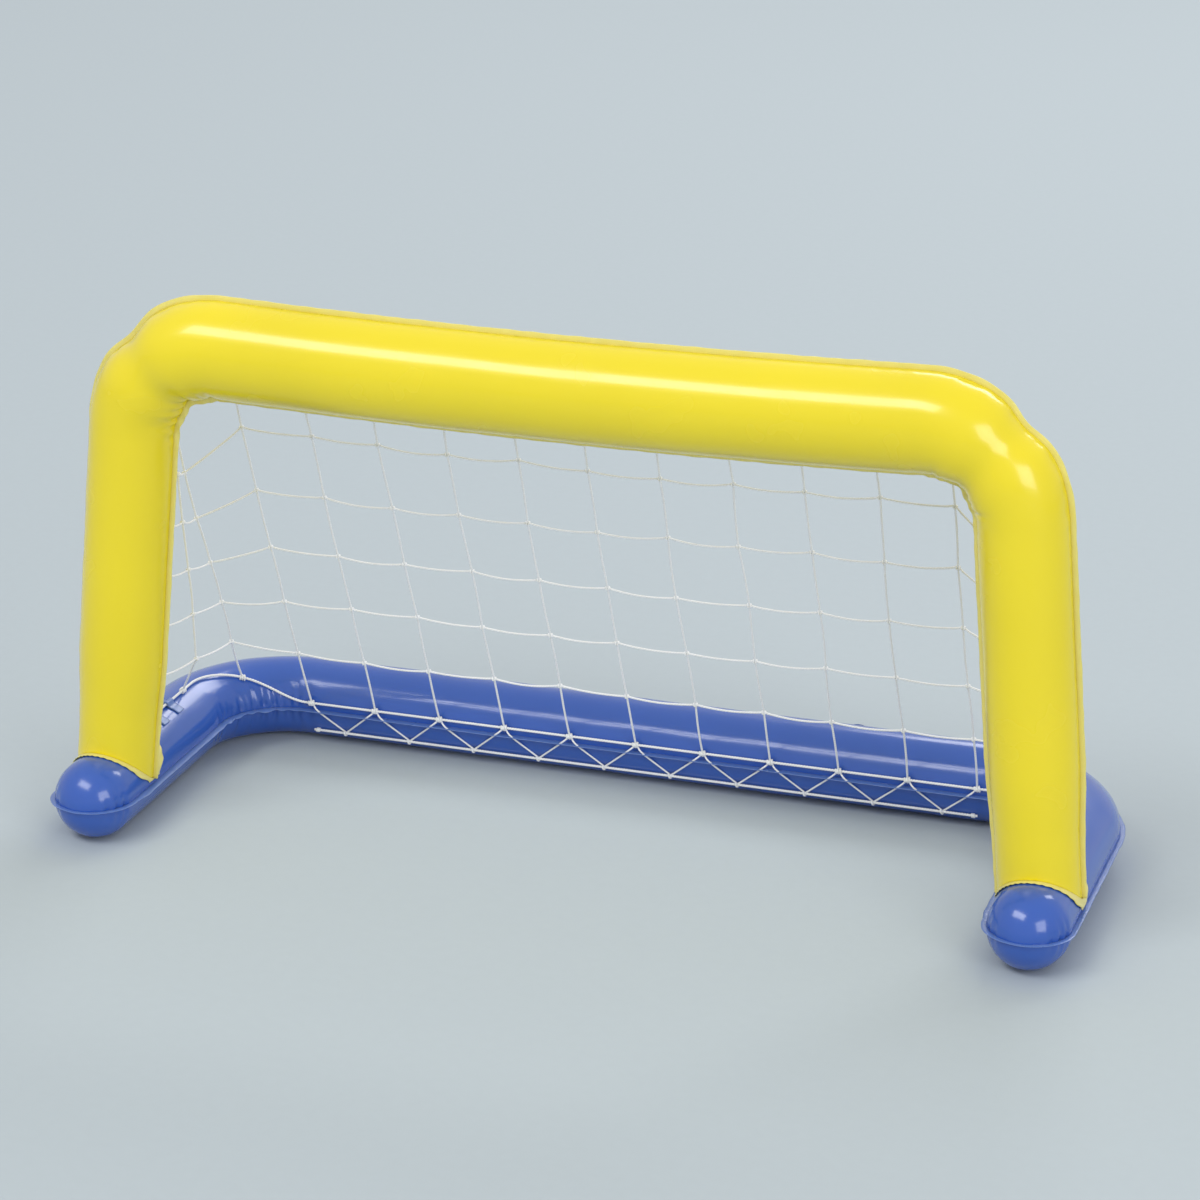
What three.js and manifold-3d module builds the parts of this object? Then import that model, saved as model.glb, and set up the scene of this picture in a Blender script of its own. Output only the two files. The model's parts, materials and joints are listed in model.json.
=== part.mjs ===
// Inflatable water polo goal: a yellow inflated arch stands on a blue inflated U-shaped base,
// with a knotted net between them and an air valve in each chamber.
// Millimetres. +Z is up, X runs along the crossbar and +Y runs into the goal. The floor is Z = 0.

import * as THREE from 'three';
import { mergeVertices } from 'three/addons/utils/BufferGeometryUtils.js';
import Module from 'manifold-3d';

const wasm = await Module();
wasm.setup();

// Overall size, over the weld margins
const overallWidth = 1420;
const overallHeight = 760;

// Blue base tube
const goalDepth = 380; // from the arch's plane to the axis of the back tube
const footReach = 70; // from the arch's plane to the centre of an arm's round end
const baseRadius = 56;
const baseBendRadius = 150;
const floorFlatDepth = 1.5; // how far the tube flattens where it stands

// Yellow arch tube
const crossbarRadius = 67;
const postRadius = 60;
const postFootRadius = 55;
const postFootLength = 60; // straight cylinder at the foot, before the post widens
const postTaperLength = 140;
const postLean = 55; // how much nearer the middle a post is at the top
const archBendRadius = 130;
const crossbarSag = 8;
const creaseDepth = 4; // how far the outer bend is drawn in at its crease
const creaseHalfWidth = 26;
const bendBulge = 2;

// Welded film
const filmThickness = 1;
const outerMarginWidth = 6;
const innerMarginWidth = 6;
const lacedMarginWidth = 10; // inside of the base, where the eyelets are
const eyeletRadius = 2.8;
const eyeletInset = 5; // from the tube to an eyelet's centre
const weldRingWidth = 8;
const weldRingThickness = 1.2;
const weldRingDrop = 3; // the ring's lobes end this far above the base's weld margin

// Net and ropes
const netColumns = 6; // columns each side of the middle one
const netRows = 6; // meshes from top to bottom
const netEdgeInset = 4; // from an arm's inner side to the net's outermost columns
const netCordRadius = 1.5;
const knotRadius = 4.2;
const knotThickness = 4.6;
const ropeRadius = 2;
const lacingRadius = 1.3;
const netSag = 10;
const sideNetDrop = 8; // from the foot of the arch's bend down to the top of a side net
const ropeFootRise = 8; // from the top of an arm up to the border rope's end
const footRopeStart = 70; // how far behind the arch's plane the foot rope's ends lie
const lacedColumns = 5; // loops of lacing each side of the middle
const lacingEndInset = 8; // from the base's bends to the lacing's ends

// Rope keepers
const keeperLength = 18;
const keeperThickness = 1;
const keeperRoom = 0.5; // clearance round the rope
const keeperBump = 3.6; // half the width of the keeper's bridge
const crossbarKeeperColumns = [-3.5, -1.5, 1.5, 3.5]; // in mesh widths, between the net's columns
const postKeeperRows = [1.5, 4.5]; // in rows of the side net, between its cords
const armKeeperShares = [0.2, 0.5]; // of the foot rope's straight run on an arm, before the side net's tie

// Air valves
const valveFlangeRadius = 16;
const valveFlangeThickness = 1.2;
const valveFlangeBevel = 0.8;
const valveSeatDepth = 2.6;
const valveSeatMargin = 1;
const stemRadius = 6;
const stemBore = 4.3;
const stemRimRadius = 8;
const stemRimThickness = 1.8;
const stemLength = 17.5;
const stemRunning = 0.5; // clearance between the stem and its flange
const pocketRadius = 7.6;
const pocketDepth = 24;
const flapRadius = 5.6;
const flapThickness = 0.8;
const plugCapRadius = 7;
const plugCapThickness = 1.8;
const plugBevel = 0.6;
const plugRootRadius = 4;
const plugTipRadius = 2.2;
const plugLength = 6;
const strapReach = 11.5; // stem axis to the plug's hinge axis
const strapWidth = 5;
const strapThickness = 1.2;
const knuckleRadius = 1.1;
const thumbTabReach = 10;
const thumbTabWidth = 4;
const thumbTabThickness = 0.9;
const archValveHeight = 330;
const archValveAngle = THREE.MathUtils.degToRad(112.5); // from the arch's inside towards its rear
const baseValveX = 300;
const baseValveAngle = THREE.MathUtils.degToRad(135); // from the base's inside up and over

// Clearances
const seatGap = 0.3; // between pieces that touch
const ropeGap = 0.6; // between the foot rope and the base where the rope crosses facets
const cutOverrun = 20; // how far a cutting body runs past what it cuts

// Detail
const tubeSides = 32;
const bendSteps = 8;
const postSteps = 5;
const crossbarSteps = 8;
const armSteps = 3;
const backSteps = 6;
const tipSteps = 3;
const cordSides = 4;
const ropeSides = 6;
const ropeStep = 62;
const latheSegments = 24;
const eyeletSides = 8;
const halvings = 40; // steps when a distance along a tube is searched for

// Angles round a tube, on the tube's own facet corners
const facetAngle = (2 * Math.PI) / tubeSides;
const borderRopeAngle = 5 * facetAngle; // from the arch's inside towards its rear
const footRopeBackAngle = 1 * facetAngle; // from the base's inside upwards
const footRopeArmAngle = 7 * facetAngle;
const lowerRopeAngle = -3 * facetAngle;

// Colours and finishes
const yellowVinyl = new THREE.MeshStandardMaterial({ color: 0xefdc2e, roughness: 0.25, metalness: 0 });
const paleYellowVinyl = new THREE.MeshStandardMaterial({ color: 0xf5e98a, roughness: 0.3, metalness: 0 });
const blueVinyl = new THREE.MeshStandardMaterial({ color: 0x3b4aa3, roughness: 0.22, metalness: 0 });
const paleBlueVinyl = new THREE.MeshStandardMaterial({ color: 0x6f80c4, roughness: 0.3, metalness: 0 });
const clearVinyl = new THREE.MeshStandardMaterial({ color: 0xe9eef2, roughness: 0.3, metalness: 0 });
const whiteCord = new THREE.MeshStandardMaterial({ color: 0xf4f6f8, roughness: 0.75, metalness: 0 });

// Places that follow from the sizes
const baseAxisHeight = baseRadius - floorFlatDepth;
const armX = overallWidth / 2 - baseRadius - outerMarginWidth;
const crossbarHeight = overallHeight - crossbarRadius - outerMarginWidth;
const meshWidth = (armX - baseRadius - netEdgeInset) / netColumns;
const lacedHalf = armX - baseBendRadius - lacingEndInset;
const lacingPitch = lacedHalf / lacedColumns;
const ropeFootHeight = baseAxisHeight + baseRadius + ropeFootRise;
const up = new THREE.Vector3(0, 0, 1);
const rear = new THREE.Vector3(0, 1, 0);

// Solids and booleans

function closedGeometry(positions, triangles) {
  const geometry = new THREE.BufferGeometry();
  geometry.setAttribute('position', new THREE.Float32BufferAttribute(positions, 3));
  geometry.setIndex(triangles);
  return geometry;
}

function signedVolume(geometry) {
  const points = geometry.getAttribute('position');
  const index = geometry.getIndex();
  const corners = [new THREE.Vector3(), new THREE.Vector3(), new THREE.Vector3()];
  let volume = 0;
  for (let i = 0; i < index.count; i += 3) {
    corners.forEach((corner, j) => corner.fromBufferAttribute(points, index.getX(i + j)));
    volume += corners[0].dot(corners[1].cross(corners[2])) / 6;
  }
  return volume;
}

function facingOut(geometry) {
  if (signedVolume(geometry) < 0) {
    const flipped = Array.from(geometry.getIndex().array).reverse();
    geometry.setIndex(flipped);
  }
  return geometry;
}

function plainMesh(geometry) {
  const bare = geometry.clone();
  bare.deleteAttribute('normal');
  bare.deleteAttribute('uv');
  return facingOut(mergeVertices(bare));
}

function solidOf(geometry) {
  const mesh = plainMesh(geometry);
  const vertProperties = new Float32Array(mesh.getAttribute('position').array);
  const triVerts = new Uint32Array(mesh.getIndex().array);
  return new wasm.Manifold(new wasm.Mesh({ numProp: 3, vertProperties, triVerts }));
}

function geometryOf(solid) {
  const mesh = solid.getMesh();
  return closedGeometry(mesh.vertProperties, Array.from(mesh.triVerts));
}

function cut(geometry, ...cutters) {
  let solid = solidOf(geometry);
  for (const cutter of cutters) solid = solid.subtract(solidOf(cutter));
  return geometryOf(solid);
}

function join(...geometries) {
  let solid = solidOf(geometries[0]);
  for (const geometry of geometries.slice(1)) solid = solid.add(solidOf(geometry));
  return geometryOf(solid);
}

// A skin over rings of points, closed at each end by a fan to a tip point.
function loft(rings, firstTip, lastTip) {
  const sides = rings[0].length;
  const positions = [];
  const triangles = [];
  for (const ring of rings) for (const point of ring) positions.push(point.x, point.y, point.z);
  const first = rings.length * sides;
  positions.push(firstTip.x, firstTip.y, firstTip.z, lastTip.x, lastTip.y, lastTip.z);
  for (let i = 0; i < rings.length - 1; i++) {
    for (let j = 0; j < sides; j++) {
      const a = i * sides + j;
      const b = i * sides + ((j + 1) % sides);
      triangles.push(a, b, b + sides, a, b + sides, a + sides);
    }
  }
  const lastRing = (rings.length - 1) * sides;
  for (let j = 0; j < sides; j++) {
    const next = (j + 1) % sides;
    triangles.push(next, j, first, lastRing + j, lastRing + next, first + 1);
  }
  return facingOut(closedGeometry(positions, triangles));
}

// Tube routes. A station has its centre, the direction to the inside of the bend, and a radius.

class BendArc extends THREE.Curve {
  constructor(centre, from, to, radius) {
    super();
    Object.assign(this, { centre, from, to, radius });
    this.sweep = from.angleTo(to);
  }

  getPoint(share, target = new THREE.Vector3()) {
    const angle = share * this.sweep;
    const side = this.to.clone().addScaledVector(this.from, -Math.cos(this.sweep));
    side.divideScalar(Math.sin(this.sweep));
    target.copy(this.centre).addScaledVector(this.from, this.radius * Math.cos(angle));
    return target.addScaledVector(side, this.radius * Math.sin(angle));
  }
}

function bendBetween(corner, before, after, radius) {
  const toBefore = before.clone().sub(corner).normalize();
  const toAfter = after.clone().sub(corner).normalize();
  const half = toBefore.angleTo(toAfter) / 2;
  const start = corner.clone().addScaledVector(toBefore, radius / Math.tan(half));
  const end = corner.clone().addScaledVector(toAfter, radius / Math.tan(half));
  const middle = toBefore.clone().add(toAfter).normalize();
  const centre = corner.clone().addScaledVector(middle, radius / Math.sin(half));
  const from = start.clone().sub(centre).normalize();
  const to = end.clone().sub(centre).normalize();
  return { start, end, arc: new BendArc(centre, from, to, radius) };
}

// A tube's centre line with its inside direction. The lift is the normal of the line's plane.
class TubeRoute {
  constructor(pieces, lift, insideSign) {
    this.path = new THREE.CurvePath();
    this.lift = lift;
    this.insideSign = insideSign;
    this.length = 0;
    this.starts = [];
    for (const { curve } of pieces) {
      this.starts.push(this.length);
      this.path.add(curve);
      this.length += curve.getLength();
    }
    this.steps = pieces.flatMap(({ curve, steps }, i) =>
      Array.from({ length: steps }, (_, j) => this.starts[i] + (curve.getLength() * j) / steps),
    );
    this.steps.push(this.length);
  }

  share(distance) {
    return THREE.MathUtils.clamp(distance / this.length, 0, 1);
  }

  station(distance) {
    const centre = this.path.getPoint(this.share(distance));
    const along = this.path.getTangent(this.share(distance));
    const inside = along.clone().cross(this.lift).normalize();
    return { centre, along, inside: inside.multiplyScalar(this.insideSign) };
  }

  surface(distance, angle, radius) {
    const { centre, inside } = this.station(distance);
    centre.addScaledVector(inside, radius * Math.cos(angle));
    return centre.addScaledVector(this.lift, radius * Math.sin(angle));
  }

  // The distance at which a measure of the route reaches a value, by halving
  distanceWhere(measure, value, from, to) {
    let [low, high] = [from, to];
    const rising = measure(high) > measure(low);
    for (let i = 0; i < halvings; i++) {
      const middle = (low + high) / 2;
      if (measure(middle) < value === rising) low = middle;
      else high = middle;
    }
    return (low + high) / 2;
  }
}

function baseRoute() {
  const [left, right] = [-armX, armX];
  const point = (x, y) => new THREE.Vector3(x, y, baseAxisHeight);
  const first = bendBetween(point(left, goalDepth), point(left, 0), point(0, goalDepth), baseBendRadius);
  const second = bendBetween(point(right, goalDepth), point(0, goalDepth), point(right, 0), baseBendRadius);
  const pieces = [
    { curve: new THREE.LineCurve3(point(left, -footReach), first.start), steps: armSteps },
    { curve: first.arc, steps: bendSteps },
    { curve: new THREE.LineCurve3(first.end, second.start), steps: backSteps },
    { curve: second.arc, steps: bendSteps },
    { curve: new THREE.LineCurve3(second.end, point(right, -footReach)), steps: armSteps },
  ];
  return new TubeRoute(pieces, up, 1);
}

function archRoute() {
  const point = (x, z) => new THREE.Vector3(x, 0, z);
  const topX = armX - postLean;
  const feet = [point(-armX, baseAxisHeight), point(armX, baseAxisHeight)];
  const corners = [point(-topX, crossbarHeight), point(topX, crossbarHeight)];
  const first = bendBetween(corners[0], feet[0], corners[1], archBendRadius);
  const second = bendBetween(corners[1], corners[0], feet[1], archBendRadius);
  const middle = point(0, crossbarHeight - 2 * crossbarSag); // a Bezier curve sags half as far
  const pieces = [
    { curve: new THREE.LineCurve3(feet[0], first.start), steps: postSteps },
    { curve: first.arc, steps: bendSteps },
    { curve: new THREE.QuadraticBezierCurve3(first.end, middle, second.start), steps: crossbarSteps },
    { curve: second.arc, steps: bendSteps },
    { curve: new THREE.LineCurve3(second.end, feet[1]), steps: postSteps },
  ];
  const route = new TubeRoute(pieces, rear, -1);
  route.steps.push(postFootLength, route.length - postFootLength);
  route.steps.sort((one, other) => one - other);
  return route;
}

const base = baseRoute();
const arch = archRoute();

// The arch's radius: a straight foot, a widening post, and a bend with a bulge and a crease
function archRadius(distance) {
  const fromFoot = Math.min(distance, arch.length - distance);
  const [bendStart, bendEnd] = [arch.starts[1], arch.starts[2]];
  const foot = THREE.MathUtils.smoothstep(fromFoot, postFootLength, postFootLength + postTaperLength);
  const post = THREE.MathUtils.lerp(postFootRadius, postRadius, foot);
  const bend = THREE.MathUtils.clamp((fromFoot - bendStart) / (bendEnd - bendStart), 0, 1);
  const plain = THREE.MathUtils.lerp(post, crossbarRadius, THREE.MathUtils.smoothstep(bend, 0, 1));
  const toCrease = (fromFoot - (bendStart + bendEnd) / 2) / creaseHalfWidth;
  const crease = (creaseDepth + bendBulge) * Math.exp(-toCrease * toCrease);
  return plain + bendBulge * Math.sin(Math.PI * bend) - crease;
}

function ring(station, lift, radius) {
  return Array.from({ length: tubeSides }, (_, i) => {
    const point = station.centre.clone();
    point.addScaledVector(station.inside, radius * Math.cos(i * facetAngle));
    return point.addScaledVector(lift, radius * Math.sin(i * facetAngle));
  });
}

// The base's stations from tip to tip, with the round ends as shrinking rings
function baseStations(radius) {
  const straight = base.steps.map((distance) => ({ ...base.station(distance), radius }));
  const tipOf = (end, direction) =>
    Array.from({ length: tipSteps }, (_, i) => {
      const angle = ((i + 1) * Math.PI) / 2 / (tipSteps + 1);
      const centre = end.centre.clone().addScaledVector(direction, radius * Math.sin(angle));
      return { ...end, centre, radius: radius * Math.cos(angle) };
    });
  const [first, last] = [straight[0], straight[straight.length - 1]];
  const firstTip = tipOf(first, first.along.clone().negate()).reverse();
  return [...firstTip, ...straight, ...tipOf(last, last.along)];
}

function tipPoint(end, radius) {
  const station = base.station(end);
  const outward = end === 0 ? -radius : radius;
  return station.centre.addScaledVector(station.along, outward);
}

function baseBody() {
  const rings = baseStations(baseRadius).map((station) => ring(station, up, station.radius));
  return loft(rings, tipPoint(0, baseRadius), tipPoint(base.length, baseRadius));
}

function archBody() {
  const stations = arch.steps.map((distance) => ({ ...arch.station(distance), distance }));
  const rings = stations.map((station) => ring(station, rear, archRadius(station.distance)));
  return loft(rings, stations[0].centre, stations[stations.length - 1].centre);
}

// A straight rod along one base arm, with the arm's own facets
function armRod(side, radius) {
  const distances = side < 0 ? [0, base.starts[1]] : [base.starts[4], base.length];
  const stations = distances.map((distance) => base.station(distance));
  const rings = stations.map((station) => ring(station, up, radius));
  return loft(rings, stations[0].centre, stations[1].centre);
}

// A straight rod up one post's axis, with the post's own facets
function postRod(side, radius, from, to) {
  const distances = [from, to].map((distance) => (side < 0 ? distance : arch.length - distance));
  const stations = distances.map((distance) => arch.station(distance));
  const rings = stations.map((station) => ring(station, rear, radius));
  return loft(rings, stations[0].centre, stations[1].centre);
}

// Weld margins

function flatOutline(stations, sign, offset, flat) {
  return stations.map(({ centre, inside, radius }) => flat(centre, inside, sign * (radius + offset)));
}

function onFloorPlan(centre, inside, reach) {
  return new THREE.Vector2(centre.x + inside.x * reach, centre.y + inside.y * reach);
}

function onArchPlane(centre, inside, reach) {
  return new THREE.Vector2(centre.x + inside.x * reach, centre.z + inside.z * reach);
}

function baseOutline(outerOffset, innerOffset) {
  const outer = baseStations(baseRadius + outerOffset);
  const inner = baseStations(baseRadius + innerOffset).slice(tipSteps, -tipSteps);
  const [first, last] = [0, base.length].map((end) => tipPoint(end, baseRadius + outerOffset));
  const innerTips = [outer.slice(-tipSteps), outer.slice(0, tipSteps)];
  return [
    new THREE.Vector2(first.x, first.y),
    ...flatOutline(outer, -1, 0, onFloorPlan),
    new THREE.Vector2(last.x, last.y),
    ...flatOutline([...innerTips[0]].reverse(), 1, 0, onFloorPlan),
    ...flatOutline([...inner].reverse(), 1, 0, onFloorPlan),
    ...flatOutline([...innerTips[1]].reverse(), 1, 0, onFloorPlan),
  ];
}

// Places along the back tube where a lacing strand goes through the base's weld margin
function eyeletPlaces() {
  const places = [];
  for (let k = -lacedColumns; k <= lacedColumns; k++) {
    if (k > -lacedColumns) places.push(lacingCrossing(k, -1));
    if (k < lacedColumns) places.push(lacingCrossing(k, 1));
  }
  return places;
}

function baseMargin() {
  const shape = new THREE.Shape(baseOutline(outerMarginWidth, lacedMarginWidth).reverse());
  shape.holes.push(new THREE.Path(baseOutline(seatGap, seatGap)));
  for (const place of eyeletPlaces()) {
    const corners = Array.from({ length: eyeletSides }, (_, i) => {
      const angle = (i * 2 * Math.PI) / eyeletSides;
      return new THREE.Vector2(eyeletRadius, 0).rotateAround(new THREE.Vector2(), angle).add(place);
    });
    shape.holes.push(new THREE.Path(corners));
  }
  const plate = new THREE.ExtrudeGeometry(shape, { depth: filmThickness, bevelEnabled: false });
  plate.translate(0, 0, baseAxisHeight - filmThickness / 2);
  return plate;
}

// One weld margin of the arch, on its inside (sign 1) or outside (sign -1)
function archMargin(sign, width) {
  const stations = arch.steps.map((d) => ({ ...arch.station(d), radius: archRadius(d) }));
  const near = flatOutline(stations, sign, seatGap, onArchPlane);
  const far = flatOutline(stations, sign, width, onArchPlane);
  const shape = new THREE.Shape([...near, ...far.reverse()]);
  const plate = new THREE.ExtrudeGeometry(shape, { depth: filmThickness, bevelEnabled: false });
  plate.rotateX(Math.PI / 2);
  plate.translate(0, filmThickness / 2, 0);
  const clear = baseRadius + 2 * seatGap + weldRingThickness;
  return cut(plate, belowWeldRings(), armRod(-1, clear), armRod(1, clear));
}

// Everything under the level at which the weld rings and the arch's margins end
function belowWeldRings() {
  const depth = 2 * (postRadius + cutOverrun);
  return new THREE.BoxGeometry(2 * overallWidth, depth, 2 * (baseAxisHeight + weldRingDrop));
}

// The ring of film that welds a post's foot to its base arm
function weldRing(side) {
  const ringTop = baseRadius + weldRingWidth;
  const outer = solidOf(postRod(side, postFootRadius + weldRingWidth, 0, ringTop));
  const inner = solidOf(postRod(side, postFootRadius + seatGap, 0, ringTop + cutOverrun));
  const shellOutside = solidOf(armRod(side, baseRadius + seatGap + weldRingThickness));
  const shellInside = solidOf(armRod(side, baseRadius + seatGap));
  const shell = shellOutside.subtract(shellInside).subtract(solidOf(belowWeldRings()));
  return geometryOf(outer.subtract(inner).intersect(shell));
}

// Cords

// The way a line runs at one of its points
function wayAt(points, i) {
  const before = points[Math.max(i - 1, 0)];
  const after = points[Math.min(i + 1, points.length - 1)];
  return after.clone().sub(before).normalize();
}

// A closed tube along points, with its rings turned from one point to the next as little as can be
function cordAlong(points, radius, sides) {
  const directions = points.map((point, i) => wayAt(points, i));
  const aside = Math.abs(directions[0].z) > Math.SQRT1_2 ? rear : up;
  let normal = aside.clone().cross(directions[0]).normalize();
  const rings = points.map((point, i) => {
    normal = normal.clone().addScaledVector(directions[i], -normal.dot(directions[i])).normalize();
    const binormal = directions[i].clone().cross(normal);
    return Array.from({ length: sides }, (_, j) => {
      const angle = (j * 2 * Math.PI) / sides;
      const corner = point.clone().addScaledVector(normal, radius * Math.cos(angle));
      return corner.addScaledVector(binormal, radius * Math.sin(angle));
    });
  });
  return loft(rings, points[0], points[points.length - 1]);
}

function footRopeAngle(distance) {
  const fromEnd = Math.min(distance, base.length - distance);
  const share = THREE.MathUtils.smoothstep(fromEnd, base.starts[1], base.starts[2]);
  return THREE.MathUtils.lerp(footRopeArmAngle, footRopeBackAngle, share);
}

function footRopePoint(distance, offset = 0) {
  const radius = baseRadius + ropeGap + ropeRadius + offset;
  return base.surface(distance, footRopeAngle(distance), radius);
}

function lowerRopePoint(distance, offset = 0) {
  return base.surface(distance, lowerRopeAngle, baseRadius + ropeGap + ropeRadius + offset);
}

function borderRopePoint(distance) {
  return arch.surface(distance, borderRopeAngle, archRadius(distance) + ropeGap + ropeRadius);
}

const backMiddle = base.length / 2;
const archMiddle = arch.length / 2;
const firstFootPoint = footReach + footRopeStart;
const borderRopeStart = arch.distanceWhere((d) => borderRopePoint(d).z, ropeFootHeight, 0, arch.starts[1]);

// Points of a rope from one distance to another, with the route's own stations as its bends
function ropePoints(route, pointAt, from, to) {
  const stops = [from, ...route.steps.filter((d) => d > from + ropeRadius && d < to - ropeRadius), to];
  const distances = [from];
  for (let i = 1; i < stops.length; i++) {
    const steps = Math.ceil((stops[i] - stops[i - 1]) / ropeStep);
    for (let j = 1; j <= steps; j++) {
      distances.push(THREE.MathUtils.lerp(stops[i - 1], stops[i], j / steps));
    }
  }
  return distances.map((distance) => pointAt(distance));
}

function borderRope() {
  const points = ropePoints(arch, borderRopePoint, borderRopeStart, arch.length - borderRopeStart);
  return cordAlong(points, ropeRadius, ropeSides);
}

function footRope() {
  const points = ropePoints(base, footRopePoint, firstFootPoint, base.length - firstFootPoint);
  return cordAlong(points, ropeRadius, ropeSides);
}

function backDistance(x) {
  return backMiddle + x;
}

function lowerRope() {
  const points = ropePoints(base, lowerRopePoint, backDistance(-lacedHalf), backDistance(lacedHalf));
  return cordAlong(points, ropeRadius, ropeSides);
}

// Lacing goes over each rope and through the weld margin between them
const overRope = ropeRadius + seatGap + lacingRadius;

function lacingTop(k) {
  return footRopePoint(backDistance(k * lacingPitch), overRope);
}

function lacingBottom(k) {
  return lowerRopePoint(backDistance(k * lacingPitch), overRope);
}

function lacingCrossing(k, sideways) {
  const top = lacingTop(k);
  const bottom = lacingBottom(k + sideways / 2);
  const share = (top.z - baseAxisHeight) / (top.z - bottom.z);
  const crossing = top.clone().lerp(bottom, share);
  crossing.y = goalDepth - baseRadius - eyeletInset;
  return crossing;
}

function lacing() {
  const points = [];
  for (let k = -lacedColumns; k <= lacedColumns; k++) {
    if (k > -lacedColumns) points.push(lacingBottom(k - 1 / 2), lacingCrossing(k, -1));
    points.push(lacingTop(k));
    if (k < lacedColumns) points.push(lacingCrossing(k, 1));
  }
  return cordAlong(points, lacingRadius, ropeSides);
}

// Net

const sideNetTopDistance = arch.starts[1] - sideNetDrop;

// A place on a rope where a net cord is tied: its point and the way the rope runs there
function tie(pointAt, distance) {
  const ahead = pointAt(distance + ropeRadius);
  const along = ahead.sub(pointAt(distance - ropeRadius)).normalize();
  return { point: pointAt(distance), along };
}

function borderTie(distance, side) {
  return tie(borderRopePoint, side < 0 ? distance : arch.length - distance);
}

function netTop(k) {
  const reach = Math.abs(k) * meshWidth;
  const isOutermost = Math.abs(k) === netColumns;
  const distance = isOutermost
    ? sideNetTopDistance
    : arch.distanceWhere((d) => -borderRopePoint(d).x, reach, arch.starts[1], archMiddle);
  return borderTie(distance, k);
}

function netBottomDistance(k) {
  const reach = Math.abs(k) * meshWidth;
  const distance = base.distanceWhere((d) => -footRopePoint(d).x, reach, base.starts[1], backMiddle);
  return k < 0 ? distance : base.length - distance;
}

function netBottom(k) {
  return tie(footRopePoint, netBottomDistance(k));
}

function hung(from, to, share) {
  const point = from.clone().lerp(to, share);
  point.z -= netSag * Math.sin(Math.PI * share);
  return point;
}

function netPoint(k, row) {
  return hung(netTop(k).point, netBottom(k).point, row / netRows);
}

// The end of a strand, held back along the strand until it clears what it is tied to
function heldBack(from, to, gap) {
  return to.clone().addScaledVector(from.clone().sub(to).normalize(), gap);
}

function tiedGap(from, { point, along }) {
  const angle = from.clone().sub(point).angleTo(along);
  return (ropeRadius + seatGap + netCordRadius * Math.abs(Math.cos(angle))) / Math.sin(angle);
}

function strand(points, startGap, endGap) {
  const line = points.map((point) => point.clone());
  const last = line.length - 1;
  line[0] = heldBack(points[1], points[0], startGap);
  line[last] = heldBack(points[last - 1], points[last], endGap);
  return cordAlong(line, netCordRadius, cordSides);
}

// A knot where two cords cross, turned so that they leave it square to its sides
function knotAt(point, along, across) {
  const normal = along.clone().cross(across).normalize();
  const turned = new THREE.Matrix4().makeBasis(along, normal.clone().cross(along), normal);
  const knot = new THREE.CylinderGeometry(knotRadius, knotRadius, knotThickness, 4);
  return knot.rotateY(Math.PI / 4).rotateX(Math.PI / 2).applyMatrix4(turned.setPosition(point));
}

const columnNumbers = Array.from({ length: 2 * netColumns + 1 }, (_, i) => i - netColumns);
const rowNumbers = Array.from({ length: netRows - 1 }, (_, i) => i + 1);

function netBack() {
  const grid = columnNumbers.map((k) => Array.from({ length: netRows + 1 }, (_, row) => netPoint(k, row)));
  const columns = grid.map((column, i) => {
    const [topTie, bottomTie] = [netTop(columnNumbers[i]), netBottom(columnNumbers[i])];
    return strand(column, tiedGap(column[1], topTie), tiedGap(column[netRows - 1], bottomTie));
  });
  const lines = rowNumbers.map((row) => grid.map((column) => column[row]));
  const knots = lines.flatMap((line, i) =>
    line.map((point, j) => knotAt(point, wayAt(grid[j], rowNumbers[i]), wayAt(line, j))),
  );
  return join(...columns, ...lines.map((line) => strand(line, 0, 0)), ...knots);
}

// Where a row of a side net meets its post's rope, up the left post
function postRowDistance(row) {
  const height = THREE.MathUtils.lerp(borderRopePoint(sideNetTopDistance).z, ropeFootHeight, row / netRows);
  return arch.distanceWhere((d) => borderRopePoint(d).z, height, 0, arch.starts[1]);
}

// A side net: rows from the outermost column to the post's rope, and one column between them
function netSide(side) {
  const outermost = side * netColumns;
  const ends = rowNumbers.map((row) => [netPoint(outermost, row), borderTie(postRowDistance(row), side)]);
  const middles = ends.map(([from, { point }]) => from.clone().lerp(point, 1 / 2));
  const knotGap = knotRadius + seatGap + netCordRadius / 2;
  const rows = ends.map(([from, end], i) =>
    strand([from, middles[i], end.point], knotGap, tiedGap(middles[i], end)),
  );
  const ropeEnd = side < 0 ? firstFootPoint : base.length - firstFootPoint;
  const foot = tie(footRopePoint, (netBottomDistance(outermost) + ropeEnd) / 2);
  const lowest = middles[middles.length - 1];
  const column = strand([...middles, foot.point], 0, tiedGap(lowest, foot));
  const knots = middles.map((point, i) => {
    const toPost = ends[i][1].point.clone().sub(point);
    return knotAt(point, wayAt(middles, i), toPost);
  });
  return join(column, ...rows, ...knots);
}

// Rope keepers: a strip of film that follows the tube's facets and bridges the rope

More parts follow.
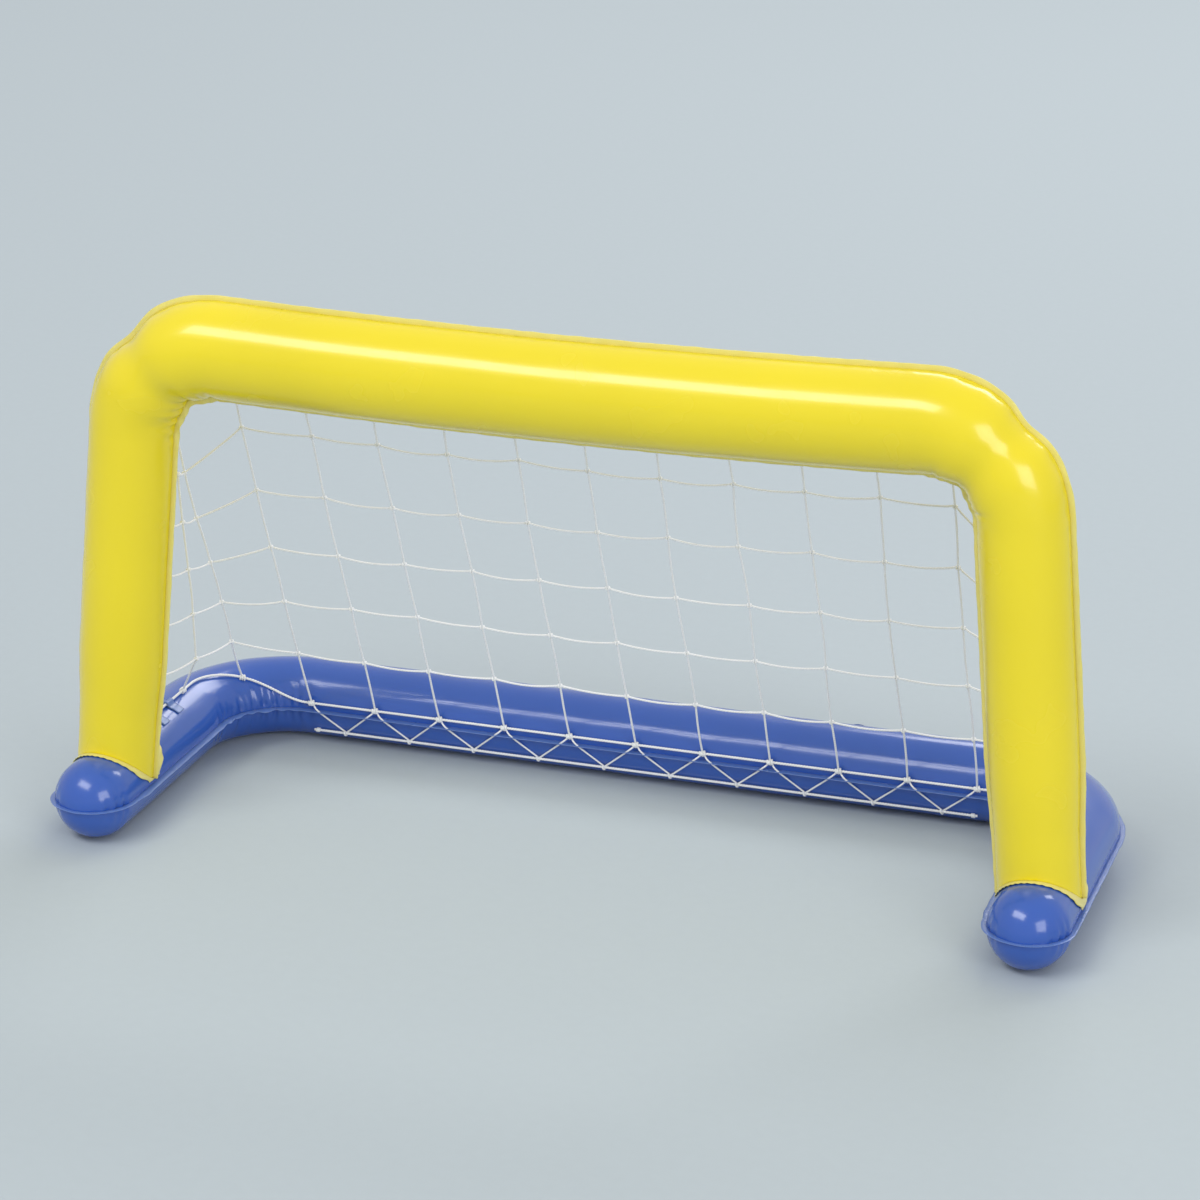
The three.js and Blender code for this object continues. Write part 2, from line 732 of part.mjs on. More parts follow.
function keeper(route, distance, angle, radius) {
  const onFacets = (turn, offset) => {
    const facets = Math.abs(turn) / facetAngle;
    const fromMiddle = (facets - Math.floor(facets) - 1 / 2) * facetAngle;
    const reach = ((radius + offset) * Math.cos(facetAngle / 2)) / Math.cos(fromMiddle);
    return new THREE.Vector2(reach * Math.sin(turn), reach * Math.cos(turn));
  };
  const bridgeTurn = (keeperBump + keeperRoom) / radius;
  const bridgeHeight = ropeGap + 2 * ropeRadius + keeperRoom;
  const side = (sign, thickness) => [
    onFacets(sign * 2 * facetAngle, seatGap + thickness),
    onFacets(sign * facetAngle, seatGap + thickness),
    onFacets(sign * (bridgeTurn + thickness / radius), seatGap + thickness),
  ];
  const top = (sign, thickness) => {
    const half = (keeperBump + thickness) / 2;
    return new THREE.Vector2(sign * half, radius + bridgeHeight + thickness);
  };
  const inner = [...side(-1, 0), top(-1, 0), top(1, 0), ...side(1, 0).reverse()];
  const outer = [
    ...side(-1, keeperThickness),
    top(-1, keeperThickness),
    top(1, keeperThickness),
    ...side(1, keeperThickness).reverse(),
  ];
  const shape = new THREE.Shape([...inner, ...outer.reverse()]);
  const strip = new THREE.ExtrudeGeometry(shape, { depth: keeperLength, bevelEnabled: false });
  strip.translate(0, 0, -keeperLength / 2);
  const { centre, inside, along } = route.station(distance);
  const outward = inside.clone().multiplyScalar(Math.cos(angle));
  outward.addScaledVector(route.lift, Math.sin(angle));
  const across = outward.clone().cross(along);
  strip.applyMatrix4(new THREE.Matrix4().makeBasis(across, outward, along).setPosition(centre));
  return strip;
}

// Air valves, in their own frame: +Z out of the tube, +X along the strap, Z = 0 at the flange's back

function lathed(profile) {
  const points = profile.map(([radius, height]) => new THREE.Vector2(radius, height));
  return new THREE.LatheGeometry(points, latheSegments).rotateX(Math.PI / 2);
}

function closedProfile(...points) {
  return [...points, points[0]];
}

const stemRimBottom = valveFlangeThickness + seatGap;
const stemRimTop = stemRimBottom + stemRimThickness;
const stemBottom = stemRimBottom - stemLength;
const plugSeat = stemRimTop + seatGap;
const hingeHeight = plugSeat + strapThickness / 2;

function valveFlange() {
  const hole = stemRadius + stemRunning;
  return lathed(
    closedProfile(
      [hole, 0],
      [valveFlangeRadius, 0],
      [valveFlangeRadius, valveFlangeThickness - valveFlangeBevel],
      [valveFlangeRadius - valveFlangeBevel, valveFlangeThickness],
      [hole, valveFlangeThickness],
    ),
  );
}

function valveStem() {
  const body = lathed(
    closedProfile(
      [stemBore, stemBottom],
      [stemRadius, stemBottom],
      [stemRadius, stemRimBottom],
      [stemRimRadius, stemRimBottom],
      [stemRimRadius, stemRimTop],
      [stemBore, stemRimTop],
    ),
  );
  const inboard = (stemRadius + stemRimRadius) / 2;
  const strap = new THREE.BoxGeometry(strapReach - inboard, strapWidth, strapThickness);
  strap.translate((strapReach + inboard) / 2, 0, stemRimTop - strapThickness / 2);
  const knuckle = new THREE.CylinderGeometry(knuckleRadius, knuckleRadius, strapWidth, latheSegments / 2);
  knuckle.translate(strapReach, 0, hingeHeight);
  return join(body, strap, knuckle);
}

function valveFlap() {
  const top = stemBottom - seatGap;
  return lathed([
    [0, top - flapThickness],
    [flapRadius, top - flapThickness],
    [flapRadius, top],
    [0, top],
  ]);
}

function valvePlug() {
  const body = lathed([
    [0, plugSeat - plugLength],
    [plugTipRadius, plugSeat - plugLength],
    [plugRootRadius, plugSeat],
    [plugCapRadius, plugSeat],
    [plugCapRadius, plugSeat + plugCapThickness - plugBevel],
    [plugCapRadius - plugBevel, plugSeat + plugCapThickness],
    [0, plugSeat + plugCapThickness],
  ]);
  const earEnd = strapReach - knuckleRadius - seatGap;
  const earStart = plugCapRadius - strapThickness;
  const ear = new THREE.BoxGeometry(earEnd - earStart, strapWidth, strapThickness);
  ear.translate((earEnd + earStart) / 2, 0, hingeHeight);
  const tabStart = plugCapRadius - thumbTabThickness;
  const tab = new THREE.BoxGeometry(thumbTabReach - tabStart, thumbTabWidth, thumbTabThickness);
  tab.translate(-(thumbTabReach + tabStart) / 2, 0, plugSeat + plugCapThickness - thumbTabThickness);
  return join(body, ear, tab);
}

function valveSeatCut() {
  const radius = valveFlangeRadius + valveSeatMargin;
  const height = valveSeatDepth + cutOverrun;
  const seat = new THREE.CylinderGeometry(radius, radius, height, latheSegments);
  return seat.rotateX(Math.PI / 2).translate(0, 0, height / 2 - seatGap);
}

function valvePocketCut() {
  const pocket = new THREE.CylinderGeometry(pocketRadius, pocketRadius, pocketDepth + seatGap, latheSegments);
  return pocket.rotateX(Math.PI / 2).translate(0, 0, -(pocketDepth + seatGap) / 2);
}

function valvePlace(route, distance, angle, radius, strapSign) {
  const { centre, inside, along } = route.station(distance);
  const outward = inside.clone().multiplyScalar(Math.cos(angle));
  outward.addScaledVector(route.lift, Math.sin(angle));
  const strapWay = along.clone().multiplyScalar(strapSign);
  const across = outward.clone().cross(strapWay);
  const origin = centre.addScaledVector(outward, radius - valveSeatDepth + seatGap);
  return new THREE.Matrix4().makeBasis(strapWay, across, outward).setPosition(origin);
}

const heightAt = (distance) => arch.station(distance).centre.z;
const archValveDistance = arch.distanceWhere(heightAt, archValveHeight, archMiddle, arch.length);
const archValvePlace = valvePlace(arch, archValveDistance, archValveAngle, archRadius(archValveDistance), 1);
const baseValvePlace = valvePlace(base, backDistance(baseValveX), baseValveAngle, baseRadius, 1);

function placed(geometry, place) {
  return geometry.applyMatrix4(place);
}

// The goal

const goal = new THREE.Group();
goal.position.y = -(goalDepth - footReach) / 2; // the origin is under the middle of the whole goal

function add(name, geometry, material) {
  const mesh = new THREE.Mesh(geometry, material);
  mesh.name = name;
  goal.add(mesh);
}

function floorCut() {
  const width = overallWidth + cutOverrun;
  const depth = 2 * (goalDepth + footReach + baseRadius);
  return new THREE.BoxGeometry(width, depth, cutOverrun).translate(0, 0, -cutOverrun / 2);
}

add(
  'base_chamber',
  cut(
    baseBody(),
    floorCut(),
    placed(valveSeatCut(), baseValvePlace),
    placed(valvePocketCut(), baseValvePlace),
  ),
  blueVinyl,
);
add('base_weld_margin', baseMargin(), paleBlueVinyl);
add(
  'arch_chamber',
  cut(
    archBody(),
    armRod(-1, baseRadius + seatGap),
    armRod(1, baseRadius + seatGap),
    placed(valveSeatCut(), archValvePlace),
    placed(valvePocketCut(), archValvePlace),
  ),
  yellowVinyl,
);
add('arch_outer_weld_margin', archMargin(-1, outerMarginWidth), paleYellowVinyl);
add('arch_inner_weld_margin', archMargin(1, innerMarginWidth), paleYellowVinyl);
add('left_post_weld_ring', weldRing(-1), paleYellowVinyl);
add('right_post_weld_ring', weldRing(1), paleYellowVinyl);

add('net_back', netBack(), whiteCord);
add('net_left_side', netSide(-1), whiteCord);
add('net_right_side', netSide(1), whiteCord);
add('net_border_rope', borderRope(), whiteCord);
add('net_foot_rope', footRope(), whiteCord);
add('net_lower_rope', lowerRope(), whiteCord);
add('net_lacing', lacing(), whiteCord);

crossbarKeeperColumns.forEach((column, i) => {
  const reach = column * meshWidth;
  const distance = arch.distanceWhere((d) => arch.station(d).centre.x, reach, arch.starts[1], arch.starts[4]);
  const strip = keeper(arch, distance, borderRopeAngle, archRadius(distance));
  add(`crossbar_rope_keeper_${i + 1}`, strip, paleYellowVinyl);
});

[['left', -1], ['right', 1]].forEach(([name, side]) => {
  postKeeperRows.forEach((row, i) => {
    const distance = side < 0 ? postRowDistance(row) : arch.length - postRowDistance(row);
    const strip = keeper(arch, distance, borderRopeAngle, archRadius(distance));
    add(`${name}_post_rope_keeper_${i + 1}`, strip, paleYellowVinyl);
  });
  armKeeperShares.forEach((share, i) => {
    const fromTip = THREE.MathUtils.lerp(firstFootPoint, base.starts[1], share);
    const distance = side < 0 ? fromTip : base.length - fromTip;
    const strip = keeper(base, distance, footRopeAngle(distance), baseRadius);
    add(`${name}_arm_rope_keeper_${i + 1}`, strip, paleBlueVinyl);
  });
});

const valves = [
  ['arch', archValvePlace, yellowVinyl],
  ['base', baseValvePlace, blueVinyl],
];
valves.forEach(([name, place, vinyl]) => {
  add(`${name}_valve_flange`, placed(valveFlange(), place), vinyl);
  add(`${name}_valve_stem`, placed(valveStem(), place), clearVinyl);
  add(`${name}_valve_flap`, placed(valveFlap(), place), clearVinyl);
  add(`${name}_valve_plug`, placed(valvePlug(), place), clearVinyl);
});

export default goal;
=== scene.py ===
"""Looks of an inflatable water polo goal: glossy air tubes with puckered welds, a knotted and
laced net, and two air valves. Metres, +Z up, X along the crossbar, +Y into the goal."""

import json
import math

import bmesh
import bpy
import numpy as np
from mathutils import Matrix, Vector


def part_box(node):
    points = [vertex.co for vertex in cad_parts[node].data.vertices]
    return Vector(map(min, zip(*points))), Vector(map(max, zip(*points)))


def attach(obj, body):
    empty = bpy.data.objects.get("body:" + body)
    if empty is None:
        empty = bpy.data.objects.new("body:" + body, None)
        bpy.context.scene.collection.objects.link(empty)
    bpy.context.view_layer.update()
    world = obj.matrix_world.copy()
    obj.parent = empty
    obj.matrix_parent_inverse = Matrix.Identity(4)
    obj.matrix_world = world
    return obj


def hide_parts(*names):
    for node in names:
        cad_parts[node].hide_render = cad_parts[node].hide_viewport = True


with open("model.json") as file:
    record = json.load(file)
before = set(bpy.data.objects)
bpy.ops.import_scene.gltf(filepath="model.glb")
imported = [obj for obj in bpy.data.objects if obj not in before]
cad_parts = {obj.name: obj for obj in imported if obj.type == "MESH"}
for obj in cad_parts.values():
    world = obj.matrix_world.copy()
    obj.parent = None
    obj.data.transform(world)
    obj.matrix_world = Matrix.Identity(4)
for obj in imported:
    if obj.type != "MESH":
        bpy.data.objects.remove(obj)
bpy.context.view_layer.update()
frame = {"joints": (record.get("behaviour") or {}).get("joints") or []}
RANDOM = np.random.default_rng(7)

# Tubes. What the frame's boxes give is worked out from them below.
BASE_RADIUS = 0.056
BASE_BEND = 0.15
CROSSBAR_RADIUS = 0.067
POST_RADIUS = 0.06
POST_FOOT_RADIUS = 0.055
POST_FOOT_LENGTH = 0.06
POST_TAPER_LENGTH = 0.14
POST_LEAN = 0.055
ARCH_BEND = 0.13
CROSSBAR_SAG = 0.008
CREASE_DEPTH = 0.004
CREASE_HALF_WIDTH = 0.026
BEND_BULGE = 0.002
NOTCH_DEPTH = 0.0045  # the outer notch of an arch's bend, deeper than its crease
NOTCH_HALF_WIDTH = 0.7 * CREASE_HALF_WIDTH
FILM = 0.001
ROUTE_STEP = 0.01  # over which a tube's direction is measured, so that it turns gently
TUBE_SIDES = 160
BASE_STEP = 0.0032
ARCH_STEP = 0.003
FOOT_BLEND_END = POST_FOOT_LENGTH + 0.06  # where the arch's rows no longer follow its foot
SADDLE_SEARCH = 0.08
CAP_SHARES = (0.9, 0.7, 0.45, 0.2)

# Unevenness of the film
CREASE_RISE = 0.009  # how far off its weld a pucker is deepest
BEND_LEAD = 0.03  # before a bend, where its puckers start
BEND_EASE = 0.02  # into a bend, where they are full
FURROW_DEPTH = 0.0011
FURROW_REACH = 0.006
BASE_WAVINESS = 0.0008
ARCH_WAVINESS = 0.0009
WAVES = 7
DENT_DEPTH = 0.0022
DENT_REACH = 0.006
TIP_PUCKER_DEPTH = 0.002
TIP_PUCKER_PITCH = 0.012
TIP_PUCKER_REACH = 0.022

# Weld margins and weld rings
MARGIN_STEP = 0.0025
MARGIN_END = 0.012
MARGIN_END_STEPS = 58
SEAM_INSET = 0.0015
EDGE_WOBBLE = 0.0005
OUTER_RIPPLE = 0.55
INNER_RIPPLE = 0.5
RIPPLE_LIMIT = 0.0022
LACED_EASE = 0.03
LACED_FLAT_HALF = 0.56
RING_SHELL = BASE_RADIUS + 0.0009
RING_WIDTH = 0.008
RING_END_GAP = 0.0002
RING_END_ANGLE = 0.045
RING_LOBE_ANGLE = 0.28
RING_WAVE = 0.0005
MERGE_DISTANCE = 0.0002

# Net and ropes
NET_COLUMNS = 6
NET_ROWS = 6
NET_EDGE_INSET = 0.004
NET_SAG = 0.01
NET_JITTER = 0.0022
ROW_DROOP = 0.0035
SIDE_ROW_DROOP = 0.003
SWAY = 0.0012
SWAY_SHARES = np.array([1, 0.4, 1])
SIDE_NET_DROP = 0.008
ROPE_FOOT_RISE = 0.008
FOOT_ROPE_START = 0.07
CORD_RADIUS = 0.0015
KNOT_CORD_RADIUS = CORD_RADIUS * 0.85
ROPE_RADIUS = 0.002
LACING_RADIUS = 0.0013
ROPE_GAP = 0.0006
ROPE_STANDOFF = ROPE_GAP + ROPE_RADIUS
SEAT_GAP = 0.0003
LACING_OVER = ROPE_RADIUS + SEAT_GAP + LACING_RADIUS
ROPE_LAY = 0.34  # the share of a rope's radius that its plies stand out
ROPE_PLIES = 3
ROPE_LAY_PITCH = 0.012
ROPE_STEP = 0.0013
STRAND_STEP = 0.0028
LACING_STEP = 0.0016
COIL_STEP = 0.0012
HITCH_TURNS = 2.4
END_KNOT_INSET = 0.006
END_KNOT_TURNS = 3
END_KNOT_CLIMB = 0.0016
LACED_COLUMNS = 5
LACED_TURNS = range(-LACED_COLUMNS, LACED_COLUMNS + 1)
LACING_END_INSET = 0.008
LACING_SHIFT = 0.003  # of half a turn of the lacing, along its rope
EYELET_INSET = 0.005
EYELET_RADIUS = 0.0028
RIM_RADIUS = 0.0005
RIM_HALF_HEIGHT = 0.0008
CROSSBAR_KEEPER_COLUMNS = (-3.5, -1.5, 1.5, 3.5)
ARM_KEEPER_SHARES = (0.2, 0.5)
POST_KEEPER_ROWS = (1.5, 4.5)
KEEPER_LENGTH = 0.018
KEEPER_BRIDGE_HALF = ROPE_RADIUS + 0.0022
KEEPER_RISE = ROPE_GAP + 2 * ROPE_RADIUS + 0.0006

FACET = 2 * math.pi / 32  # the CAD tube's facet, on whose corners the ropes lie
BORDER_ROPE_ANGLE = 5 * FACET
FOOT_ROPE_BACK_ANGLE = 1 * FACET
FOOT_ROPE_ARM_ANGLE = 7 * FACET
LOWER_ROPE_ANGLE = -3 * FACET
KEEPER_TURN = 2 * FACET

# Valves
VALVE_SEAT_RADIUS = 0.017
VALVE_SEAT_EDGE = (-0.0005, 0.0035)  # from the seat's radius, where the film turns into it
POCKET_RADIUS = 0.0076
POCKET_DEPTH = 0.024
CUT_OVERRUN = 0.004
STRAP_REACH = 0.0115
STRAP_HALF = 0.0025
HINGE_HEIGHT = 0.0042
KNUCKLE_RADIUS = 0.0011
MILLIMETRE = 0.001
SHARP_EDGE = math.radians(40)

# Stage and camera
CAMERA_AZIMUTH = math.radians(-18)
CAMERA_ELEVATION = math.radians(20)
CAMERA_DISTANCE = 5.2
CAMERA_ROLL = math.radians(-0.4)
CAMERA_FIELD = math.radians(17.6)
SENSOR_WIDTH = 36
FLOOR_REACH = 60
FLOOR_SIDES = 96
FLOOR_DROP = 0.0002
FLOOR_FADE = (2, 14)
AIM = Vector((0, 0, 0.34))
FLOOR_COLOUR = (0.46, 0.52, 0.555)
BACKDROP_COLOUR = (0.56, 0.625, 0.665)

EAST = np.array([1.0, 0.0, 0.0])
REAR = np.array([0.0, 1.0, 0.0])
UP = np.array([0.0, 0.0, 1.0])

# Places from the frame

base_low, base_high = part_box("base_chamber")
ARM_X = base_high[0] - BASE_RADIUS
AXIS_Z = base_high[2] - BASE_RADIUS
TIP_Y = base_low[1] + BASE_RADIUS
BACK_Y = base_high[1] - BASE_RADIUS
ARCH_Y = sum(corner[1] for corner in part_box("arch_outer_weld_margin")) / 2
CROSSBAR_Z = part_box("arch_chamber")[1][2] - CROSSBAR_RADIUS
OUTER_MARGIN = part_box("base_weld_margin")[1][0] - base_high[0]
MESH_WIDTH = (ARM_X - BASE_RADIUS - NET_EDGE_INSET) / NET_COLUMNS
LACED_HALF = ARM_X - BASE_BEND - LACING_END_INSET
LACING_PITCH = LACED_HALF / LACED_COLUMNS
ROPE_FOOT_Z = AXIS_Z + BASE_RADIUS + ROPE_FOOT_RISE
FIRST_FOOT_POINT = ARCH_Y - TIP_Y + FOOT_ROPE_START


# Small maths


def unit(vectors):
    return vectors / np.linalg.norm(vectors, axis=-1, keepdims=True)


def smooth(value, low, high):
    share = np.clip((value - low) / (high - low), 0, 1)
    return share * share * (3 - 2 * share)


def mix(a, b, share):
    return a + (b - a) * share


def bump(value, half_width):
    return np.exp(-((value / half_width) ** 2))


def full_turn(sides):
    return np.arange(sides) * 2 * np.pi / sides


def swung(first, second, angle):
    """The first way, turned towards the second."""
    angle = np.asarray(angle)[..., None]
    return first * np.cos(angle) + second * np.sin(angle)


def travelled(points):
    """How far along a line each of its points is."""
    return np.append(0, np.cumsum(np.linalg.norm(np.diff(points, axis=0), axis=1)))


def points_at(stops, reached, points):
    return np.stack([np.interp(stops, reached, points[:, i]) for i in range(3)], axis=1)


def where(measure, value, start, end):
    """The distance along a route at which a measure reaches a value."""
    tries = np.linspace(start, end, 2001)
    measures = measure(tries)
    order = np.argsort(measures)
    return float(np.interp(value, measures[order], tries[order]))


# Tube routes


def line(start, end):
    return np.linalg.norm(end - start), lambda share: start + share[:, None] * (end - start)


def bend(corner, before, after, radius):
    """The arc that rounds a corner: where it starts and ends, and its piece."""
    to_before, to_after = unit(before - corner), unit(after - corner)
    half = math.acos(float(to_before @ to_after)) / 2
    start = corner + to_before * radius / math.tan(half)
    end = corner + to_after * radius / math.tan(half)
    centre = corner + unit(to_before + to_after) * radius / math.sin(half)
    first, last = unit(start - centre), unit(end - centre)
    sweep = math.acos(float(first @ last))
    side = (last - first * math.cos(sweep)) / math.sin(sweep)
    return start, end, (radius * sweep, lambda share: centre + radius * swung(first, side, share * sweep))


def sagging(start, middle, end):
    """A quadratic curve, measured by its length."""
    shares = np.linspace(0, 1, 401)[:, None]
    dense = (1 - shares) ** 2 * start + 2 * shares * (1 - shares) * middle + shares**2 * end
    reached = travelled(dense)
    return reached[-1], lambda share: points_at(share * reached[-1], reached, dense)


class Route:
    """A tube's centre line, measured by distance, and the way to its bends' inside."""

    def __init__(self, pieces, lift, inside_sign):
        self.pieces = pieces
        self.lift = lift
        self.inside_sign = inside_sign
        self.starts = np.append(0, np.cumsum([length for length, _ in pieces]))
        self.bends = [self.starts[1:3], self.starts[3:5]]
        self.length = self.starts[-1]

    def from_end(self, distance):
        return np.minimum(distance, self.length - distance)

    def mirrored(self, distance, side):
        """A distance from the left end, or from the right end for the right side."""
        return distance if side < 0 else self.length - distance

    def centre(self, distance):
        distance = np.atleast_1d(distance)
        places = np.zeros((len(distance), 3))
        which = np.clip(np.searchsorted(self.starts, distance, side="right") - 1, 0, len(self.pieces) - 1)
        for i, (length, point) in enumerate(self.pieces):
            chosen = which == i
            places[chosen] = point((distance[chosen] - self.starts[i]) / length)
        return places

    def station(self, distance):
        """Centres, directions along the tube and directions to its inside."""
        along = unit(self.centre(distance + ROUTE_STEP) - self.centre(distance - ROUTE_STEP))
        inside = unit(np.cross(along, self.lift)) * self.inside_sign
        return self.centre(distance), along, inside

    def one_station(self, distance):
        return [values[0] for values in self.station(distance)]

    def surface(self, distance, angle, radius):
        centre, _, inside = self.station(distance)
        return centre + np.asarray(radius)[..., None] * swung(inside, self.lift, angle)


def u_route(right_tip, right_corner, radius, lift, inside_sign, sag_middle=None):
    """Two arms, two bends and the stretch between them, which sags when a middle is given."""
    tips, corners = (np.array([[-x, y, z], [x, y, z]]) for x, y, z in (right_tip, right_corner))
    first = bend(corners[0], tips[0], corners[1], radius)
    second = bend(corners[1], corners[0], tips[1], radius)
    ends = first[1], second[0]
    between = line(*ends) if sag_middle is None else sagging(ends[0], sag_middle, ends[1])
    pieces = [line(tips[0], first[0]), first[2], between, second[2], line(second[1], tips[1])]
    return Route(pieces, lift, inside_sign)


base = u_route((ARM_X, TIP_Y, AXIS_Z), (ARM_X, BACK_Y, AXIS_Z), BASE_BEND, UP, 1)
sag_middle = np.array([0, ARCH_Y, CROSSBAR_Z - 2 * CROSSBAR_SAG])
arch_corner = ARM_X - POST_LEAN, ARCH_Y, CROSSBAR_Z
arch = u_route((ARM_X, ARCH_Y, AXIS_Z), arch_corner, ARCH_BEND, REAR, -1, sag_middle)
BACK_MIDDLE = base.length / 2


def at_arch_bends(distance, half_width):
    """1 at the middle of each of the arch's bends, and less to both sides."""
    return bump(arch.from_end(distance) - sum(arch.bends[0]) / 2, half_width)


def arch_radius(distance):
    from_foot = arch.from_end(distance)
    bend_start, bend_end = arch.bends[0]
    foot = smooth(from_foot, POST_FOOT_LENGTH, POST_FOOT_LENGTH + POST_TAPER_LENGTH)
    post = mix(POST_FOOT_RADIUS, POST_RADIUS, foot)
    turned = np.clip((from_foot - bend_start) / (bend_end - bend_start), 0, 1)
    plain = mix(post, CROSSBAR_RADIUS, smooth(turned, 0, 1))
    crease = (CREASE_DEPTH + BEND_BULGE) * at_arch_bends(distance, CREASE_HALF_WIDTH)
    return plain + BEND_BULGE * np.sin(np.pi * turned) - crease


# Meshes


def linked(name, data):
    made = bpy.data.objects.new(name, data)
    bpy.context.scene.collection.objects.link(made)
    return made


def mesh_object(name, points, faces, uvs=None):
    """An object in the scene. uvs hold a list of places for each face."""
    mesh = bpy.data.meshes.new(name)
    mesh.from_pydata(points.tolist(), [], faces)
    if uvs:
        layer = mesh.uv_layers.new(name="UVMap")
        layer.data.foreach_set("uv", np.array([uv for face in uvs for uv in face], np.float32).ravel())
    mesh.shade_smooth()
    mesh.update()
    return linked(name, mesh)


def tube_part(rings, tips=None, joined=False):
    """Points, faces and UVs of a closed tube over rings, turned outward. Its ends are joined to
    each other, or closed by fans round two tips, which are the end rings' middles if not given."""
    rows, sides = rings.shape[:2]
    points = rings.reshape(-1, 3)
    i, j = np.meshgrid(np.arange(rows if joined else rows - 1), np.arange(sides), indexing="ij")
    following, beside = (i + 1) % rows, (j + 1) % sides
    corners = [(i, j), (i, beside), (following, beside), (following, j)]
    quads = np.stack([a * sides + b for a, b in corners], axis=-1).reshape(-1, 4)
    reached = travelled(rings.mean(1))
    reached = np.append(reached, reached[-1])
    us = [reached[i], reached[i], reached[i + 1], reached[i + 1]]
    vs = [j / sides, (j + 1) / sides, (j + 1) / sides, j / sides]
    faces = quads.tolist()
    uvs = np.stack([us, vs], axis=-1).reshape(4, -1, 2).swapaxes(0, 1).tolist()
    a, b, c, d = (points[quads[:, k]] - points.mean(0) for k in range(4))
    inward = np.sum(np.cross(c - a, d - b) * (a + b + c + d)) < 0
    if not joined:
        points = np.vstack([points, *(tips or (rings[0].mean(0), rings[-1].mean(0)))])
        end = (rows - 1) * sides
        for k in range(sides):
            after = (k + 1) % sides
            faces += [[after, k, rows * sides], [end + k, end + after, rows * sides + 1]]
            for u, v, next_v in ((0, after, k), (reached[-1], k, after)):
                uvs.append([[u, v / sides], [u, next_v / sides], [u, 0]])
    if inward:
        faces, uvs = ([row[:1] + row[:0:-1] for row in rows] for rows in (faces, uvs))
    return points, faces, uvs


def tubes_object(name, *parts):
    """One object of several tubes' points, faces and UVs."""
    points, faces, uvs, count = [], [], [], 0
    for part_points, part_faces, part_uvs in parts:
        faces += [[corner + count for corner in face] for face in part_faces]
        uvs += part_uvs
        points.append(part_points)
        count += len(part_points)
    return mesh_object(name, np.vstack(points), faces, uvs)


def prism(outline, way, low, high):
    return tube_part(np.array([outline + way * low, outline + way * high]))


def carried_frames(points):
    """Directions across a line, turned from one point to the next as little as can be."""
    ends = points[1] - points[0], points[-1] - points[-2]
    directions = unit(np.vstack([ends[0], points[2:] - points[:-2], ends[1]]))
    aside = REAR if abs(directions[0] @ UP) > math.sqrt(1 / 2) else UP
    normal = unit(np.cross(aside, directions[0]))
    normals = []
    for direction in directions:
        normal = unit(normal - direction * (normal @ direction))
        normals.append(normal)
    normals = np.array(normals)
    return normals, np.cross(directions, normals)


def spaced(points, step):
    """The same line with points a step apart, on a smooth curve through the given ones."""
    held = np.vstack([2 * points[0] - points[1], points, 2 * points[-1] - points[-2]])
    share = np.linspace(0, 1, 13)[:-1, None]
    curves = []
    for a, b, c, d in zip(held, held[1:], held[2:], held[3:]):
        slope, turn, twist = c - a, 2 * a - 5 * b + 4 * c - d, 3 * b - a - 3 * c + d
        curves.append(b + (slope * share + turn * share**2 + twist * share**3) / 2)
    points = np.vstack([*curves, points[-1:]])
    reached = travelled(points)
    return points_at(np.linspace(0, reached[-1], max(int(reached[-1] / step), 2) + 1), reached, points)


def cord_part(points, radius, sides=8, lay=0.0):
    """A cord's tube. With a lay, its plies twist round it as ridges of that share of the radius."""
    normals, binormals = carried_frames(points)
    angle = full_turn(sides)
    twist = np.cos(ROPE_PLIES * (angle - 2 * np.pi * travelled(points)[:, None] / ROPE_LAY_PITCH))
    reach = radius * (1 + lay * (twist - 1) / 2)
    across = swung(normals[:, None], binormals[:, None], angle)
    return tube_part(points[:, None] + reach[..., None] * across, (points[0], points[-1]))


def apply_modifiers(piece):
    bpy.context.view_layer.update()
    graph = bpy.context.evaluated_depsgraph_get()
    made = bpy.data.meshes.new_from_object(piece.evaluated_get(graph))
    piece.modifiers.clear()
    old = piece.data
    piece.data = made
    bpy.data.meshes.remove(old)


def cut(piece, cutter):
    modifier = piece.modifiers.new("cut", "BOOLEAN")
    modifier.operation = "DIFFERENCE"
    modifier.solver = "EXACT"
    modifier.object = cutter
    apply_modifiers(piece)
    bpy.data.objects.remove(cutter)


# Puckers: short creases that run from a weld up the film, deeper where a tube bends


def creases_along(route, straight, bent):
    """Place, depth, reach, width and slant of each crease along one weld.
    straight and bent are (spacing, depth, reach, width) on straight and bent stretches."""
    place, creases = 0.0, []
    while place < route.length:
        bent_share = max(
            float(smooth(place, a - BEND_LEAD, a + BEND_EASE) - smooth(place, b - BEND_EASE, b + BEND_LEAD))
            for a, b in route.bends
        )
        spacing, depth, reach, width = (mix(s, b, bent_share) for s, b in zip(straight, bent))
        depth *= RANDOM.uniform(0.35, 1.0)
        reach *= RANDOM.uniform(0.6, 1.15)
        width *= RANDOM.uniform(0.8, 1.3)
        creases.append((place, depth, reach, width, RANDOM.uniform(-0.25, 0.25)))
        place += spacing * RANDOM.uniform(0.6, 1.5)
    return creases


arch_inner_creases = creases_along(arch, (0.017, 0.0009, 0.02, 0.0035), (0.017, 0.0068, 0.074, 0.0052))
arch_outer_creases = creases_along(arch, (0.015, 0.0009, 0.018, 0.0035), (0.013, 0.0026, 0.04, 0.0042))
base_inner_creases = creases_along(base, (0.017, 0.0009, 0.02, 0.0035), (0.018, 0.0056, 0.062, 0.0052))
base_outer_creases = creases_along(base, (0.015, 0.0008, 0.018, 0.0035), (0.015, 0.002, 0.036, 0.0042))


